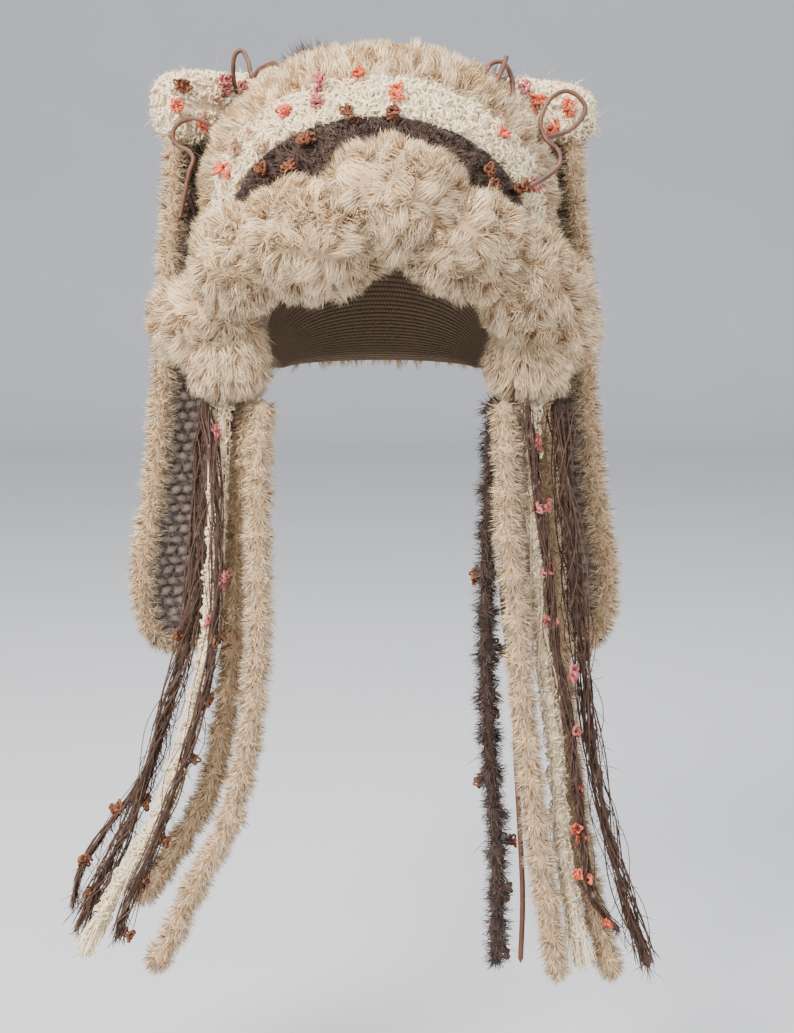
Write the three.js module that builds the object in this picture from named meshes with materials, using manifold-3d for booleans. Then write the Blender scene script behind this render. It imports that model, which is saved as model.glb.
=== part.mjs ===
// A knitted earflap hat with lop ears: a bonnet-shaped cap in fur, cream and brown stripes, a thick ruffled
// fur brim, two ears that fold over and hang down, two short earflaps with bunches of ties, and leather
// laces.
// Millimetres, +Z up. The wearer looks along -Y. The origin is inside the top of the cap, on the head.
import * as THREE from "three";
import { mergeVertices } from "three/addons/utils/BufferGeometryUtils.js";
import Module from "manifold-3d";

const wasm = await Module();
wasm.setup();

// Driving dimensions: the gap between pieces, and what the valleys between locks keep of the fur's depth
const clearance = 0.3;
const valley = 0.35;

// The hollow for the head, and the cap's wall and fur round it
const headHalfWidth = 110;
const headHalfDepth = 102;
const headRise = 85;
const headDrop = 172;
const capX = 2;
const capY = 8;
const capWall = 8;
const capPile = 13;
const neckDrop = 215;
const rowHalfSweep = 83;
const browLap = 51;
const napeLap = -88;
const brownStripe = 19.5;
const creamStripe = 9;
const topStripe = 27;
const rearStripe = 9;

// The ruffled brim
const brimReach = 118;
const brimAhead = 130;
const brimTall = 43;
const brimThick = 28;
const brimPile = 4;
const brimEnd = 0.035;
const bluntEnd = 0.2;
const brimSides = 12;
const brimSteps = 42;

// The ears, measured across from their inner edge and down from the top of the cap
const earLength = 442;
const earWidth = 88;
const leftEarInnerX = 91;
const rightEarInnerX = 83;
const earInnerY = 94;
const earYaw = 33;
const earTopDepth = 46;
const earBandDepth = 60;
const earTopRise = 2;
const earTopThick = 34;
const earTopRound = 0.35;
const earTopBump = 2;
const earBandThick = 16;
const earBorder = 26;
const earBorderPile = 3;
const borderSides = 8;
const borderSteps = 30;
const slabInset = 14;
const earPanelThick = 12;
const rightEarSlope = 12;

// The earflaps
const flapBottom = 230;
const flapLength = 50;
const flapWidth = 56;
const flapThick = 54;
const flapX = 105;
const flapY = -62;
const flapPile = 3;
const flapTaper = 0.94;
const flapSwell = 1.1;

// The ties and the leather lace
const furCord = 22;
const creamCord = 13;
const yarnBundle = 12;
const slubCord = 9;
const thinCord = 5;
const chenilleCord = 18;
const blossomCord = 7;
const leatherStrip = 4;
const laceWidth = 4;
const tieDrop = 12;
const tieSides = 8;
const laceSides = 6;

const rad = THREE.MathUtils.degToRad;
const lerp = THREE.MathUtils.lerp;

// Colour, roughness and metalness of each finish
const finish = (color, roughness) =>
  new THREE.MeshStandardMaterial({ color, roughness, metalness: 0 });
const beigeFur = finish(0xcfb591, 0.95);
const creamBoucle = finish(0xe9dfca, 0.95);
const brownFuzz = finish(0x54403a, 0.95);
const taupeKnit = finish(0x6f6259, 0.95);
const brownYarn = finish(0x5e463a, 0.9);
const pinkYarn = finish(0xb9796c, 0.9);
const leather = finish(0x7a4a35, 0.55);

// Points of a blank that are nearer to each other than this are one.
const weld = 1e-4;

// Moves each point of a closed blank to its place on the piece.
function shaped(blank, place) {
  blank.deleteAttribute("normal");
  blank.deleteAttribute("uv");
  const piece = mergeVertices(blank, weld);
  const points = piece.getAttribute("position");
  const point = new THREE.Vector3();
  for (let i = 0; i < points.count; i++) {
    point.fromBufferAttribute(points, i);
    const moved = place(point);
    points.setXYZ(i, moved.x, moved.y, moved.z);
  }
  piece.computeVertexNormals();
  return piece;
}

// The fur's outer form is a lattice of locks: every second point of every second row stands out as a tip.
const isTip = (row, place) => row % 2 === 1 && (place + (row >> 1)) % 2 === 1;

// A block with shares 0 to 1 along its three ways, and the row and place of each point.
function bentBlock(rows, places, layers, place) {
  return shaped(new THREE.BoxGeometry(1, 1, 1, rows, places, layers), (p) => {
    const [u, v, w] = [p.x + 0.5, p.y + 0.5, p.z + 0.5];
    return place(u, v, w, Math.round(u * rows), Math.round(v * places));
  });
}

// A rod from share 0 to 1 of its length, with a share across, a share of depth and its lock's sign.
function bentRod(sides, steps, place) {
  return shaped(new THREE.CylinderGeometry(1, 1, 1, sides, steps), (p) => {
    const side = Math.round(Math.atan2(p.x, p.z) / ((2 * Math.PI) / sides) + sides);
    const step = Math.round((p.y + 0.5) * steps);
    return place(p.y + 0.5, p.x, p.z, isTip(step, side) ? 1 : -1);
  });
}

// A solid to cut with, from a closed geometry.
function solidOf(geometry) {
  const bare = new THREE.BufferGeometry();
  bare.setAttribute("position", geometry.getAttribute("position"));
  bare.setIndex(geometry.index);
  const merged = mergeVertices(bare, weld);
  return new wasm.Manifold(
    new wasm.Mesh({
      numProp: 3,
      vertProperties: merged.getAttribute("position").array,
      triVerts: new Uint32Array(merged.index.array),
    }),
  );
}

// The geometry of a solid after its cuts.
function geometryOf(solid) {
  const mesh = solid.getMesh();
  const geometry = new THREE.BufferGeometry();
  geometry.setAttribute("position", new THREE.BufferAttribute(mesh.vertProperties, 3));
  geometry.setIndex(new THREE.BufferAttribute(mesh.triVerts, 1));
  geometry.computeVertexNormals();
  return geometry;
}

// Cuts a piece with its neighbours and keeps its largest body.
function seated(geometry, cutters) {
  let solid = solidOf(geometry);
  for (const cutter of cutters) solid = solid.subtract(cutter);
  const bodies = solid.decompose();
  bodies.sort((a, b) => b.volume() - a.volume());
  return geometryOf(bodies[0]);
}

// The cap is an egg round the head. Its rows are arcs that fan out from a line across the neck:
// lap is a row's angle in degrees, 0 over the top and positive to the brow, and sweep runs along the row
// from -1 at the left to 1 at the right. The point lies a distance out from the hollow for the head.
function capPoint(lap, sweep, out) {
  const swing = rad(sweep * rowHalfSweep);
  const lean = rad(lap);
  const ray = [
    Math.sin(swing),
    -Math.cos(swing) * Math.sin(lean),
    Math.cos(swing) * Math.cos(lean),
  ];
  const from = [0, 0, headRise - neckDrop];
  const reach = (height) => {
    const axes = [headHalfWidth + out, headHalfDepth + out, height + out];
    const a = ray.reduce((sum, r, i) => sum + (r / axes[i]) ** 2, 0);
    const b = ray.reduce((sum, r, i) => sum + (r * from[i]) / axes[i] ** 2, 0);
    const c = from.reduce((sum, f, i) => sum + (f / axes[i]) ** 2, 0) - 1;
    return (Math.sqrt(Math.max(b * b - a * c, 0)) - b) / a;
  };
  const low = reach(headDrop);
  const t = from[2] + low * ray[2] <= 0 ? low : reach(headRise);
  return new THREE.Vector3(
    capX + t * ray[0],
    capY + t * ray[1],
    from[2] + t * ray[2] - headRise,
  );
}

// The stripes of the cap, each from one row to another, with its fur's depth as a share of capPile.
const creamLap = browLap - brownStripe;
const topLap = creamLap - creamStripe;
const rearLap = topLap - topStripe;
const backLap = rearLap - rearStripe;
const stripes = [
  { name: "brown_band", from: creamLap, to: browLap, rows: 3, locks: 30, pile: 0.7, skin: brownFuzz },
  { name: "cream_band", from: topLap, to: creamLap, rows: 2, locks: 28, pile: 0.9, skin: creamBoucle },
  { name: "top_fur", from: rearLap, to: topLap, rows: 5, locks: 24, pile: 1, skin: beigeFur },
  { name: "rear_brown_band", from: backLap, to: rearLap, rows: 2, locks: 26, pile: 0.8, skin: brownFuzz },
  { name: "back_fur", from: napeLap, to: backLap, rows: 8, locks: 18, pile: 1, skin: beigeFur },
];

// Rows lie closer together towards the neck, so on top the gap between two stripes is wider.
const topGap = 2.2 * clearance;
const lapGap = THREE.MathUtils.radToDeg(topGap / (neckDrop + capWall + capPile));

// A cutter overlaps its neighbours, stands out further than the fur and is filled nearly to the neck.
const cutterLap = 1.5 * lapGap;
const cutterRise = 1.8 * clearance;
const cutterFill = 0.9;

// A stripe's solid, or the cutter that makes room for it.
const neckPoint = new THREE.Vector3(capX, capY, -neckDrop);
function stripe(row, cutter = false) {
  const { from, to, rows, locks, pile, smooth } = row;
  const grown = cutter ? cutterRise : 0;
  const past = cutter ? cutterLap : 0;
  return bentBlock(rows, locks, 1, (u, v, w, i, j) => {
    const lock = smooth || isTip(i, j) ? 1 : valley;
    const outer = capWall + capPile * pile * lock + grown;
    const edge = (i === rows) - (i === 0);
    const lap = lerp(from + lapGap / 2, to - lapGap / 2, u) + edge * past;
    if (w > 0.5) return capPoint(lap, 2 * v - 1, outer);
    const hollow = capPoint(lap, 2 * v - 1, 0);
    return cutter ? hollow.lerp(neckPoint, cutterFill) : hollow;
  });
}
const capCutters = stripes.map((row) => solidOf(stripe(row, true)));

// The cap as one smooth egg a little larger than its fur, which the brim is cut with.
const smoothCap = { from: napeLap, to: browLap, rows: 9, locks: 18, pile: 1.12, smooth: true };
const brimSeat = solidOf(stripe(smoothCap, true));

// The brim's lobes and the creases between them, from the wearer's right round the brow. Turn is the angle
// from the brow in degrees, seen from the front, about the middle of the neck line. The rest are shares:
// reach of brimReach, ahead of brimAhead, tall of brimTall and thick of brimThick.
const lobes = [
  { turn: -64, reach: 1.42, ahead: -0.06, tall: 0.6, thick: 0.8 },
  { turn: -73, reach: 1.27, ahead: 0.16, tall: 0.78, thick: 1.05 },
  { turn: -74, reach: 1.08, ahead: 0.44, tall: 0.86, thick: 1.15 },
  { turn: -62, reach: 1.03, ahead: 0.54, tall: 0.78, thick: 0.85 },
  { turn: -51, reach: 1.06, ahead: 0.74, tall: 0.98, thick: 1.1 },
  { turn: -40, reach: 0.96, ahead: 0.77, tall: 0.84, thick: 0.8 },
  { turn: -31, reach: 0.94, ahead: 0.95, tall: 1.02, thick: 1.1 },
  { turn: -20, reach: 0.84, ahead: 1.02, tall: 0.98, thick: 1.1 },
  { turn: -9, reach: 0.84, ahead: 0.93, tall: 0.8, thick: 0.8 },
  { turn: 2, reach: 1.0, ahead: 1.03, tall: 1.02, thick: 1.05 },
  { turn: 12, reach: 1.0, ahead: 1.04, tall: 1.0, thick: 1.1 },
  { turn: 21, reach: 0.9, ahead: 0.92, tall: 0.82, thick: 0.8 },
  { turn: 31, reach: 0.91, ahead: 0.99, tall: 0.92, thick: 1.1 },
  { turn: 40, reach: 0.97, ahead: 0.91, tall: 0.9, thick: 1 },
  { turn: 49, reach: 1.0, ahead: 0.76, tall: 0.86, thick: 0.85 },
  { turn: 57, reach: 1.02, ahead: 0.72, tall: 1.02, thick: 1.15 },
  { turn: 69, reach: 1.09, ahead: 0.48, tall: 1, thick: 1.15 },
  { turn: 76, reach: 1.17, ahead: 0.2, tall: 0.88, thick: 1.05 },
  { turn: 66, reach: 1.3, ahead: -0.06, tall: 0.62, thick: 0.8 },
];
const lobePoint = ({ turn, reach, ahead }) =>
  new THREE.Vector3(
    capX + brimReach * reach * Math.sin(rad(turn)),
    -brimAhead * ahead,
    brimReach * reach * Math.cos(rad(turn)) - neckDrop,
  );
const brimLine = new THREE.CatmullRomCurve3(lobes.map(lobePoint));

// A value from a named column of a table, between its rows.
function column(table, name, share) {
  const place = share * (table.length - 1);
  const row = Math.min(Math.floor(place), table.length - 2);
  const blend = THREE.MathUtils.smoothstep(place - row, 0, 1);
  return lerp(table[row][name], table[row + 1][name], blend);
}

// Rounds the brim's ends, and leaves the very end blunt.
function roundEnd(share) {
  const near = Math.max(1 - Math.min(share, 1 - share) / brimEnd, 0);
  return Math.max(Math.sqrt(1 - near ** 2), bluntEnd);
}

// The brim is a rod along its line, taller than thick, that leans with the line.
function brim(grown = 0) {
  return bentRod(brimSides, brimSteps, (share, across, deep, lock) => {
    const at = brimLine.getPoint(share);
    const along = brimLine.getTangent(share);
    const facing = new THREE.Vector3(at.x - capX, at.y - capY, 0).normalize();
    facing.addScaledVector(along, -facing.dot(along)).normalize();
    const rise = new THREE.Vector3().crossVectors(along, facing);
    const soft = roundEnd(share);
    const pile = brimPile * lock + grown;
    const tall = brimTall * column(lobes, "tall", share) * soft + pile;
    const thick = brimThick * column(lobes, "thick", share) * soft + pile;
    return at.clone().addScaledVector(rise, across * tall).addScaledVector(facing, deep * thick);
  });
}
const brimCutterRise = 1.5 * clearance;
const brimCutter = solidOf(brim(brimCutterRise));

// An ear's outline, as shares: down of earLength, outer and inner of earWidth from the inner edge.
const earOutline = [
  { down: 0, outer: 0.99, inner: -0.45 },
  { down: 0.16, outer: 0.98, inner: -0.06 },
  { down: 0.27, outer: 1.04, inner: 0.02 },
  { down: 0.38, outer: 1.1, inner: 0.04 },
  { down: 0.54, outer: 1.16, inner: 0.06 },
  { down: 0.72, outer: 1.26, inner: 0.1 },
  { down: 0.88, outer: 1.4, inner: 0.2 },
  { down: 0.96, outer: 1.36, inner: 0.34 },
];
const earEdge = (name, down) => {
  const above = Math.max(earOutline.findLastIndex((row) => row.down <= down), 0);
  const [a, b] = [earOutline[above], earOutline[above + 1] ?? earOutline[above]];
  const blend = b.down > a.down ? (down - a.down) / (b.down - a.down) : 0;
  return lerp(a[name], b[name], Math.min(blend, 1)) * earWidth;
};

// A point of an ear: across from its inner edge, down from the top, and out from its middle plane.
// Side is -1 for the left in the photo and 1 for the right.
function earPoint(side, across, down, out) {
  const yaw = rad(earYaw);
  const innerX = side > 0 ? rightEarInnerX : leftEarInnerX;
  return new THREE.Vector3(
    capX + side * (innerX + across * Math.cos(yaw) + out * Math.sin(yaw)),
    earInnerY - across * Math.sin(yaw) + out * Math.cos(yaw),
    -down,
  );
}

// A cushion-like block of an ear, from one depth to another, with bumps on its faces.
function earBlock(side, { from, to, thick, rows, places, slope = 0 }) {
  return bentBlock(rows, places, 2, (u, v, w, i, j) => {
    const down = lerp(to, from, v);
    const inner = earEdge("inner", down / earLength);
    const outer = earEdge("outer", down / earLength);
    const across = side > 0 ? lerp(outer, inner, u) : lerp(inner, outer, u);
    const end = (2 * u - 1) ** 4;
    const half = (thick / 2) * (1 - earTopRound * end) + (isTip(i, j) ? earTopBump : 0);
    const drop = slope * v * Math.max(across / outer, 0);
    return earPoint(side, across, down + drop, (2 * w - 1) * half);
  });
}

// The fur border's line: down the outer edge, round the bottom and up the inner edge. Its turns at the
// bottom are shares of the way from the inner to the outer edge.
const borderTurns = [0.72, 0.32];
function borderLine(side) {
  const inset = earBorder / 2;
  const start = earTopDepth + clearance;
  const last = earOutline.length - 1;
  const rows = earOutline.filter((row) => row.down * earLength > start + earBorder);
  const points = [earPoint(side, earEdge("outer", start / earLength) - inset, start, 0)];
  for (const row of rows)
    points.push(earPoint(side, row.outer * earWidth - inset, row.down * earLength - inset, 0));
  const { outer, inner } = earOutline[last];
  const bottom = earLength - inset;
  for (const turn of borderTurns)
    points.push(earPoint(side, lerp(inner, outer, turn) * earWidth, bottom, 0));
  for (const row of rows.toReversed())
    points.push(earPoint(side, row.inner * earWidth + inset, row.down * earLength - inset, 0));
  points.push(earPoint(side, earEdge("inner", start / earLength) + inset, start, 0));
  return new THREE.CatmullRomCurve3(points, false, "centripetal");
}

function earBorderRoll(side, grown = 0) {
  const line = borderLine(side);
  const facing = earPoint(side, 0, 0, -1).sub(earPoint(side, 0, 0, 0));
  const down = new THREE.Vector3(0, 0, -1);
  return bentRod(borderSides, borderSteps, (share, across, deep, lock) => {
    const at = line.getPointAt(share);
    let along = line.getTangentAt(share);
    if (share === 0) along = down;
    if (share === 1) along = down.clone().negate();
    const wide = new THREE.Vector3().crossVectors(along, facing).normalize();
    const half = (earBorder + earBorderPile * (lock - 1)) / 2 + grown;
    return at.clone().addScaledVector(wide, across * half).addScaledVector(facing, deep * half);
  });
}

// A knitted slab that fills the border from one depth to another, and is cut to the roll's shape.
function earSlab(side, top, bottom, thick) {
  const [rows, places] = [2, 7];
  return bentBlock(rows, places, 1, (u, v, w) => {
    const down = lerp(bottom, top, v);
    const inner = earEdge("inner", down / earLength) + slabInset;
    const outer = earEdge("outer", down / earLength) - slabInset;
    const across = side > 0 ? lerp(outer, inner, u) : lerp(inner, outer, u);
    return earPoint(side, across, down, (w - 0.5) * thick);
  });
}

// A short fat tongue of fur, tapered to the flat end where the ties hang.
function earflap(side) {
  const [around, steps] = [12, 4];
  return bentRod(around, steps, (share, across, deep, lock) => {
    const down = lerp(flapBottom, flapBottom - flapLength, share);
    const swell = lerp(flapTaper, flapSwell, Math.sin(Math.PI * share));
    const pile = flapPile * lock * Math.sin(Math.PI * share);
    return new THREE.Vector3(
      capX + side * flapX + across * ((flapWidth / 2) * swell + pile),
      flapY - deep * ((flapThick / 2) * swell + pile),
      -down,
    );
  });
}

// The ties' routes, chosen by hand from the flap to the free end: [x, y, z] from the middle of the flap's
// flat end.
const ties = [
  {
    name: "left_fur_cord_outer", size: furCord, steps: 14, skin: beigeFur,
    route: [
      [13, 12, 0], [11, 8, -32], [6, 5, -73], [3, 5, -117], [0, 5, -176], [-8, 4, -241],
      [-20, 4, -289], [-39, 5, -324], [-57, 6, -352], [-73, 7, -375],
    ],
  },
  {
    name: "left_fur_cord_inner", size: furCord, steps: 15, skin: beigeFur,
    route: [
      [24, -9, 0], [23, -15, -29], [21, -19, -71], [21, -20, -114], [20, -20, -172],
      [14, -20, -232], [7, -20, -270], [-4, -19, -309], [-18, -18, -334], [-35, -17, -368],
      [-48, -16, -397], [-61, -15, -418],
    ],
  },
  {
    name: "left_cream_cord", size: creamCord, steps: 16, skin: creamBoucle,
    route: [
      [-5, 2, 0], [-6, -5, -32], [-9, -10, -90], [-13, -10, -134], [-17, -10, -177],
      [-28, -10, -228], [-42, -10, -273], [-61, -9, -316], [-86, -8, -358], [-113, -6, -410],
    ],
  },
  {
    name: "left_brown_bundle", size: yarnBundle, steps: 16, skin: brownYarn,
    route: [
      [-7, 19, 0], [-11, 16, -28], [-16, 13, -63], [-22, 12, -107], [-29, 12, -151],
      [-39, 12, -196], [-53, 13, -236], [-62, 13, -268], [-80, 14, -314], [-104, 15, -364],
      [-124, 16, -404],
    ],
  },
  {
    name: "left_rust_cord", size: slubCord, steps: 18, skin: brownYarn,
    route: [
      [-16, -8, 0], [-10, -17, -32], [-7, -24, -70], [-8, -26, -110], [-12, -26, -175],
      [-22, -26, -220], [-36, -26, -265], [-49, -25, -300], [-59, -25, -326], [-75, -24, -360],
      [-87, -23, -395],
    ],
  },
  {
    name: "left_thin_cord", size: thinCord, steps: 18, skin: brownYarn,
    route: [
      [-19, 10, 0], [-23, 18, -28], [-27, 24, -66], [-34, 25, -131], [-42, 25, -199],
      [-57, 25, -258], [-73, 26, -292], [-95, 27, -320], [-119, 28, -356], [-128, 29, -392],
    ],
  },
  {
    name: "right_fur_cord_inner", size: furCord, steps: 15, skin: beigeFur,
    route: [
      [-17, -13, 0], [-15, -16, -36], [-14, -17, -89], [-8, -17, -138], [-3, -17, -206],
      [4, -17, -268], [11, -17, -326], [19, -16, -376], [27, -15, -425],
    ],
  },
  {
    name: "right_fur_cord_outer", size: furCord, steps: 15, skin: beigeFur,
    route: [
      [8, 18, 0], [13, 18, -39], [17, 19, -90], [22, 19, -149], [29, 19, -209], [36, 18, -270],
      [45, 17, -330], [54, 16, -377], [64, 14, -415], [71, 13, -438],
    ],
  },
  {
    name: "right_cream_cord", size: creamCord, steps: 16, skin: creamBoucle,
    route: [
      [3, -4, 0], [3, -5, -38], [3, -5, -74], [6, -4, -117], [11, -3, -176], [17, -3, -213],
      [24, -3, -266], [29, -3, -327], [37, -4, -374], [45, -6, -421],
    ],
  },
  {
    name: "right_blossom_cord", size: blossomCord, steps: 18, skin: pinkYarn,
    route: [
      [-1, -21, 0], [3, -22, -37], [8, -21, -78], [14, -20, -121], [19, -20, -163], [26, -19, -201],
      [34, -18, -244], [38, -18, -283], [42, -18, -320], [49, -17, -357], [71, -14, -391],
    ],
  },
  {
    name: "right_brown_bundle", size: yarnBundle, steps: 16, skin: brownYarn,
    route: [
      [21, -4, 0], [23, -4, -30], [28, -3, -80], [35, -3, -140], [42, -3, -190], [49, -3, -240],
      [57, -3, -290], [67, -3, -336], [80, -2, -381], [96, 0, -425],
    ],
  },
  {
    name: "right_chenille_cord", size: chenilleCord, steps: 15, skin: brownFuzz,
    route: [
      [-23, 10, 0], [-24, 9, -40], [-26, 8, -90], [-27, 8, -160], [-26, 7, -220], [-23, 5, -270],
      [-19, 4, -315], [-17, 4, -370], [-18, 4, -424],
    ],
  },
  {
    name: "right_leather_strip", size: leatherStrip, steps: 18, skin: leather,
    route: [
      [-8, 18, 0], [-11, 22, -32], [-14, 25, -80], [-15, 25, -140], [-12, 18, -175], [-7, 5, -213],
      [-5, 0, -263], [-2, -1, -312], [1, -1, -370], [0, -1, -421],
    ],
  },
];

// The leather lace's loops and tails at the sides of the cap, chosen by hand: [x, y, z].
const laces = [
  {
    name: "left_upper_lace", steps: 20,
    route: [
      [-104, 72, -24], [-107, 62, -8], [-108, 56, 6], [-106, 53, 17], [-101, 51, 20], [-96, 46, 12],
      [-92, 36, -1], [-87, 30, 3], [-80, 22, 6], [-72, 14, 6], [-66, 10, -4],
    ],
  },
  {
    name: "left_lower_lace", steps: 23,
    route: [
      [-116, 8, -42], [-124, 6, -36], [-132, 8, -33], [-140, 12, -34], [-147, 14, -39], [-149, 14, -45],
      [-145, 12, -52], [-137, 8, -56], [-133, 4, -62], [-136, 2, -72], [-139, 1, -86], [-143, 0, -104],
    ],
  },
  {
    name: "right_upper_lace", steps: 20,
    route: [
      [93, -16, 8], [89, -20, -3], [84, -22, -12], [79, -20, -12], [79, -14, -2], [83, -10, 4],
      [90, -10, 5], [95, -11, -1], [98, -12, -12], [97, -16, -30],
    ],
  },
  {
    name: "right_lower_lace", steps: 26,
    route: [
      [108, -26, -50], [120, -20, -49], [130, -8, -46], [140, 0, -42], [148, 4, -35], [152, 6, -26],
      [147, 6, -18], [138, 4, -14], [128, -2, -18], [121, -12, -27], [117, -24, -40], [121, -30, -51],
      [129, -32, -58], [130, -38, -66], [121, -56, -76], [104, -72, -86],
    ],
  },
];

const curveOf = (route) =>
  new THREE.CatmullRomCurve3(route.map((p) => new THREE.Vector3(...p)), false, "centripetal");

// A round section with flats, so that its faces reach the stated size.
function section(size, sides) {
  const outline = new THREE.Shape();
  for (let i = 0; i < sides; i++) {
    const angle = (2 * Math.PI * (i + 0.5)) / sides;
    const [x, y] = [(size / 2) * Math.cos(angle), (size / 2) * Math.sin(angle)];
    if (i) outline.lineTo(x, y);
    else outline.moveTo(x, y);
  }
  outline.closePath();
  return outline;
}

const tube = (route, size, steps, sides) =>
  new THREE.ExtrudeGeometry(section(size, sides), { steps, extrudePath: curveOf(route) });

// A tie's route in the part's frame. It starts just under its flap and first hangs straight down.
function hung(name, route) {
  const side = name.startsWith("left") ? -1 : 1;
  const [start, ...rest] = route.map(([x, y, z]) => [capX + side * flapX + x, flapY + y, z - flapBottom]);
  start[2] -= clearance;
  return [start, [start[0], start[1], start[2] - tieDrop], ...rest];
}

const hat = new THREE.Group();
function add(name, geometry, material) {
  const mesh = new THREE.Mesh(geometry, material);
  mesh.name = name;
  hat.add(mesh);
}

for (const row of stripes) add(row.name, stripe(row), row.skin);
add("brim_ruffle", seated(brim(), [brimSeat]), beigeFur);

const earTop = { from: -earTopRise, to: earTopDepth, thick: earTopThick, rows: 8, places: 3 };
const ears = [
  { label: "left", side: -1, slope: 0 },
  { label: "right", side: 1, slope: rightEarSlope },
];
for (const { label, side, slope } of ears) {
  const cutters = [...capCutters, brimCutter];
  add(`${label}_ear_top`, seated(earBlock(side, { ...earTop, slope }), cutters), creamBoucle);
  add(`${label}_ear_border`, seated(earBorderRoll(side), cutters), beigeFur);
  cutters.push(solidOf(earBorderRoll(side, clearance)));
  const bandEnd = earTopDepth + earBandDepth;
  const band = earSlab(side, earTopDepth + clearance, bandEnd, earBandThick);
  const panel = earSlab(side, bandEnd + clearance, earLength - earBorder / 2, earPanelThick);
  add(`${label}_ear_band`, seated(band, cutters), brownFuzz);
  add(`${label}_ear_panel`, seated(panel, cutters), taupeKnit);
  add(`${label}_earflap`, seated(earflap(side), [...capCutters, brimCutter]), beigeFur);
}

for (const { name, size, steps, skin, route } of ties)
  add(name, tube(hung(name, route), size, steps, tieSides), skin);

const grownTop = { ...earTop, thick: earTopThick + 2 * clearance };
const laceCutters = [...capCutters, brimCutter, solidOf(earBlock(-1, grownTop))];
for (const { name, steps, route } of laces)
  add(name, seated(tube(route, laceWidth, steps, laceSides), laceCutters), leather);

export default hat;
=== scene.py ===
"""Looks of a knitted earflap hat: fur cap and ruffled brim, boucle stripes, lop ears, ties and laces.

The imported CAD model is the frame. Every length is in metres, in the same frame: the wearer looks along -Y,
+Z is up and the origin is inside the top of the cap.
"""

from __future__ import annotations

import logging
import math
from abc import ABC, abstractmethod
from dataclasses import dataclass, replace
from enum import Enum
from typing import Callable, Sequence

import bpy
import numpy as np
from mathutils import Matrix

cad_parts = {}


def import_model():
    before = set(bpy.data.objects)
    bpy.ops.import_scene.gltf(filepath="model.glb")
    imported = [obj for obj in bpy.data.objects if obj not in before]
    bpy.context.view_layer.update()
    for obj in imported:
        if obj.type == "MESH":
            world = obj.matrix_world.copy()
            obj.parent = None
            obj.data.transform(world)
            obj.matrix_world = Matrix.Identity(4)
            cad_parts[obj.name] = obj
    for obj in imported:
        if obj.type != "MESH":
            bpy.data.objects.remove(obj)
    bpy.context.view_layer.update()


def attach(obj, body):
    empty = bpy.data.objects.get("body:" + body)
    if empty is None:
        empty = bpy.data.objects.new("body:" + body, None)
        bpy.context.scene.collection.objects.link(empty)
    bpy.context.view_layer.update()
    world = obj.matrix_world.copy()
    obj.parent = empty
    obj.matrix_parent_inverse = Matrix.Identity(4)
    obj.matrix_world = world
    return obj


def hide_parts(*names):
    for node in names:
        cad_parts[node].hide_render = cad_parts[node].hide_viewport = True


Array = np.ndarray
Keep = Callable[[Array], Array]
Colour = tuple[float, float, float]
Point = tuple[float, float, float]

LOG = logging.getLogger("hat")
SEED = 20417
DOWN = np.array([0.0, 0.0, -1.0])
BODY = "root"


# Camera, lights and stage


@dataclass(frozen=True)
class Lamp:
    """A soft square light: where it stands, the length of its side, its power and its colour."""

    name: str
    place: Point
    size: float
    watts: float
    tint: Colour

    def add(self, aim: Point) -> None:
        """Adds the light to the scene.

        Args:
            aim: The point that it faces.
        """
        bpy.ops.object.light_add(type="AREA", location=self.place)
        lamp = bpy.context.object
        lamp.name = self.name
        way = np.array(self.place) - np.array(aim)
        flat = math.hypot(way[0], way[1])
        lamp.rotation_euler = (math.atan2(flat, way[2]), 0, math.atan2(way[0], -way[1]))
        lamp.data.size = self.size
        lamp.data.energy = self.watts
        lamp.data.color = self.tint


LAMPS = (
    Lamp("key", (-1.3, -1.7, 1.4), 1.1, 168, (1.0, 0.965, 0.90)),
    Lamp("fill", (1.7, -1.5, 0.5), 1.6, 34, (0.97, 0.98, 1.0)),
    Lamp("top", (0.1, 0.5, 1.7), 1.2, 48, (1.0, 0.98, 0.95)),
)


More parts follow.
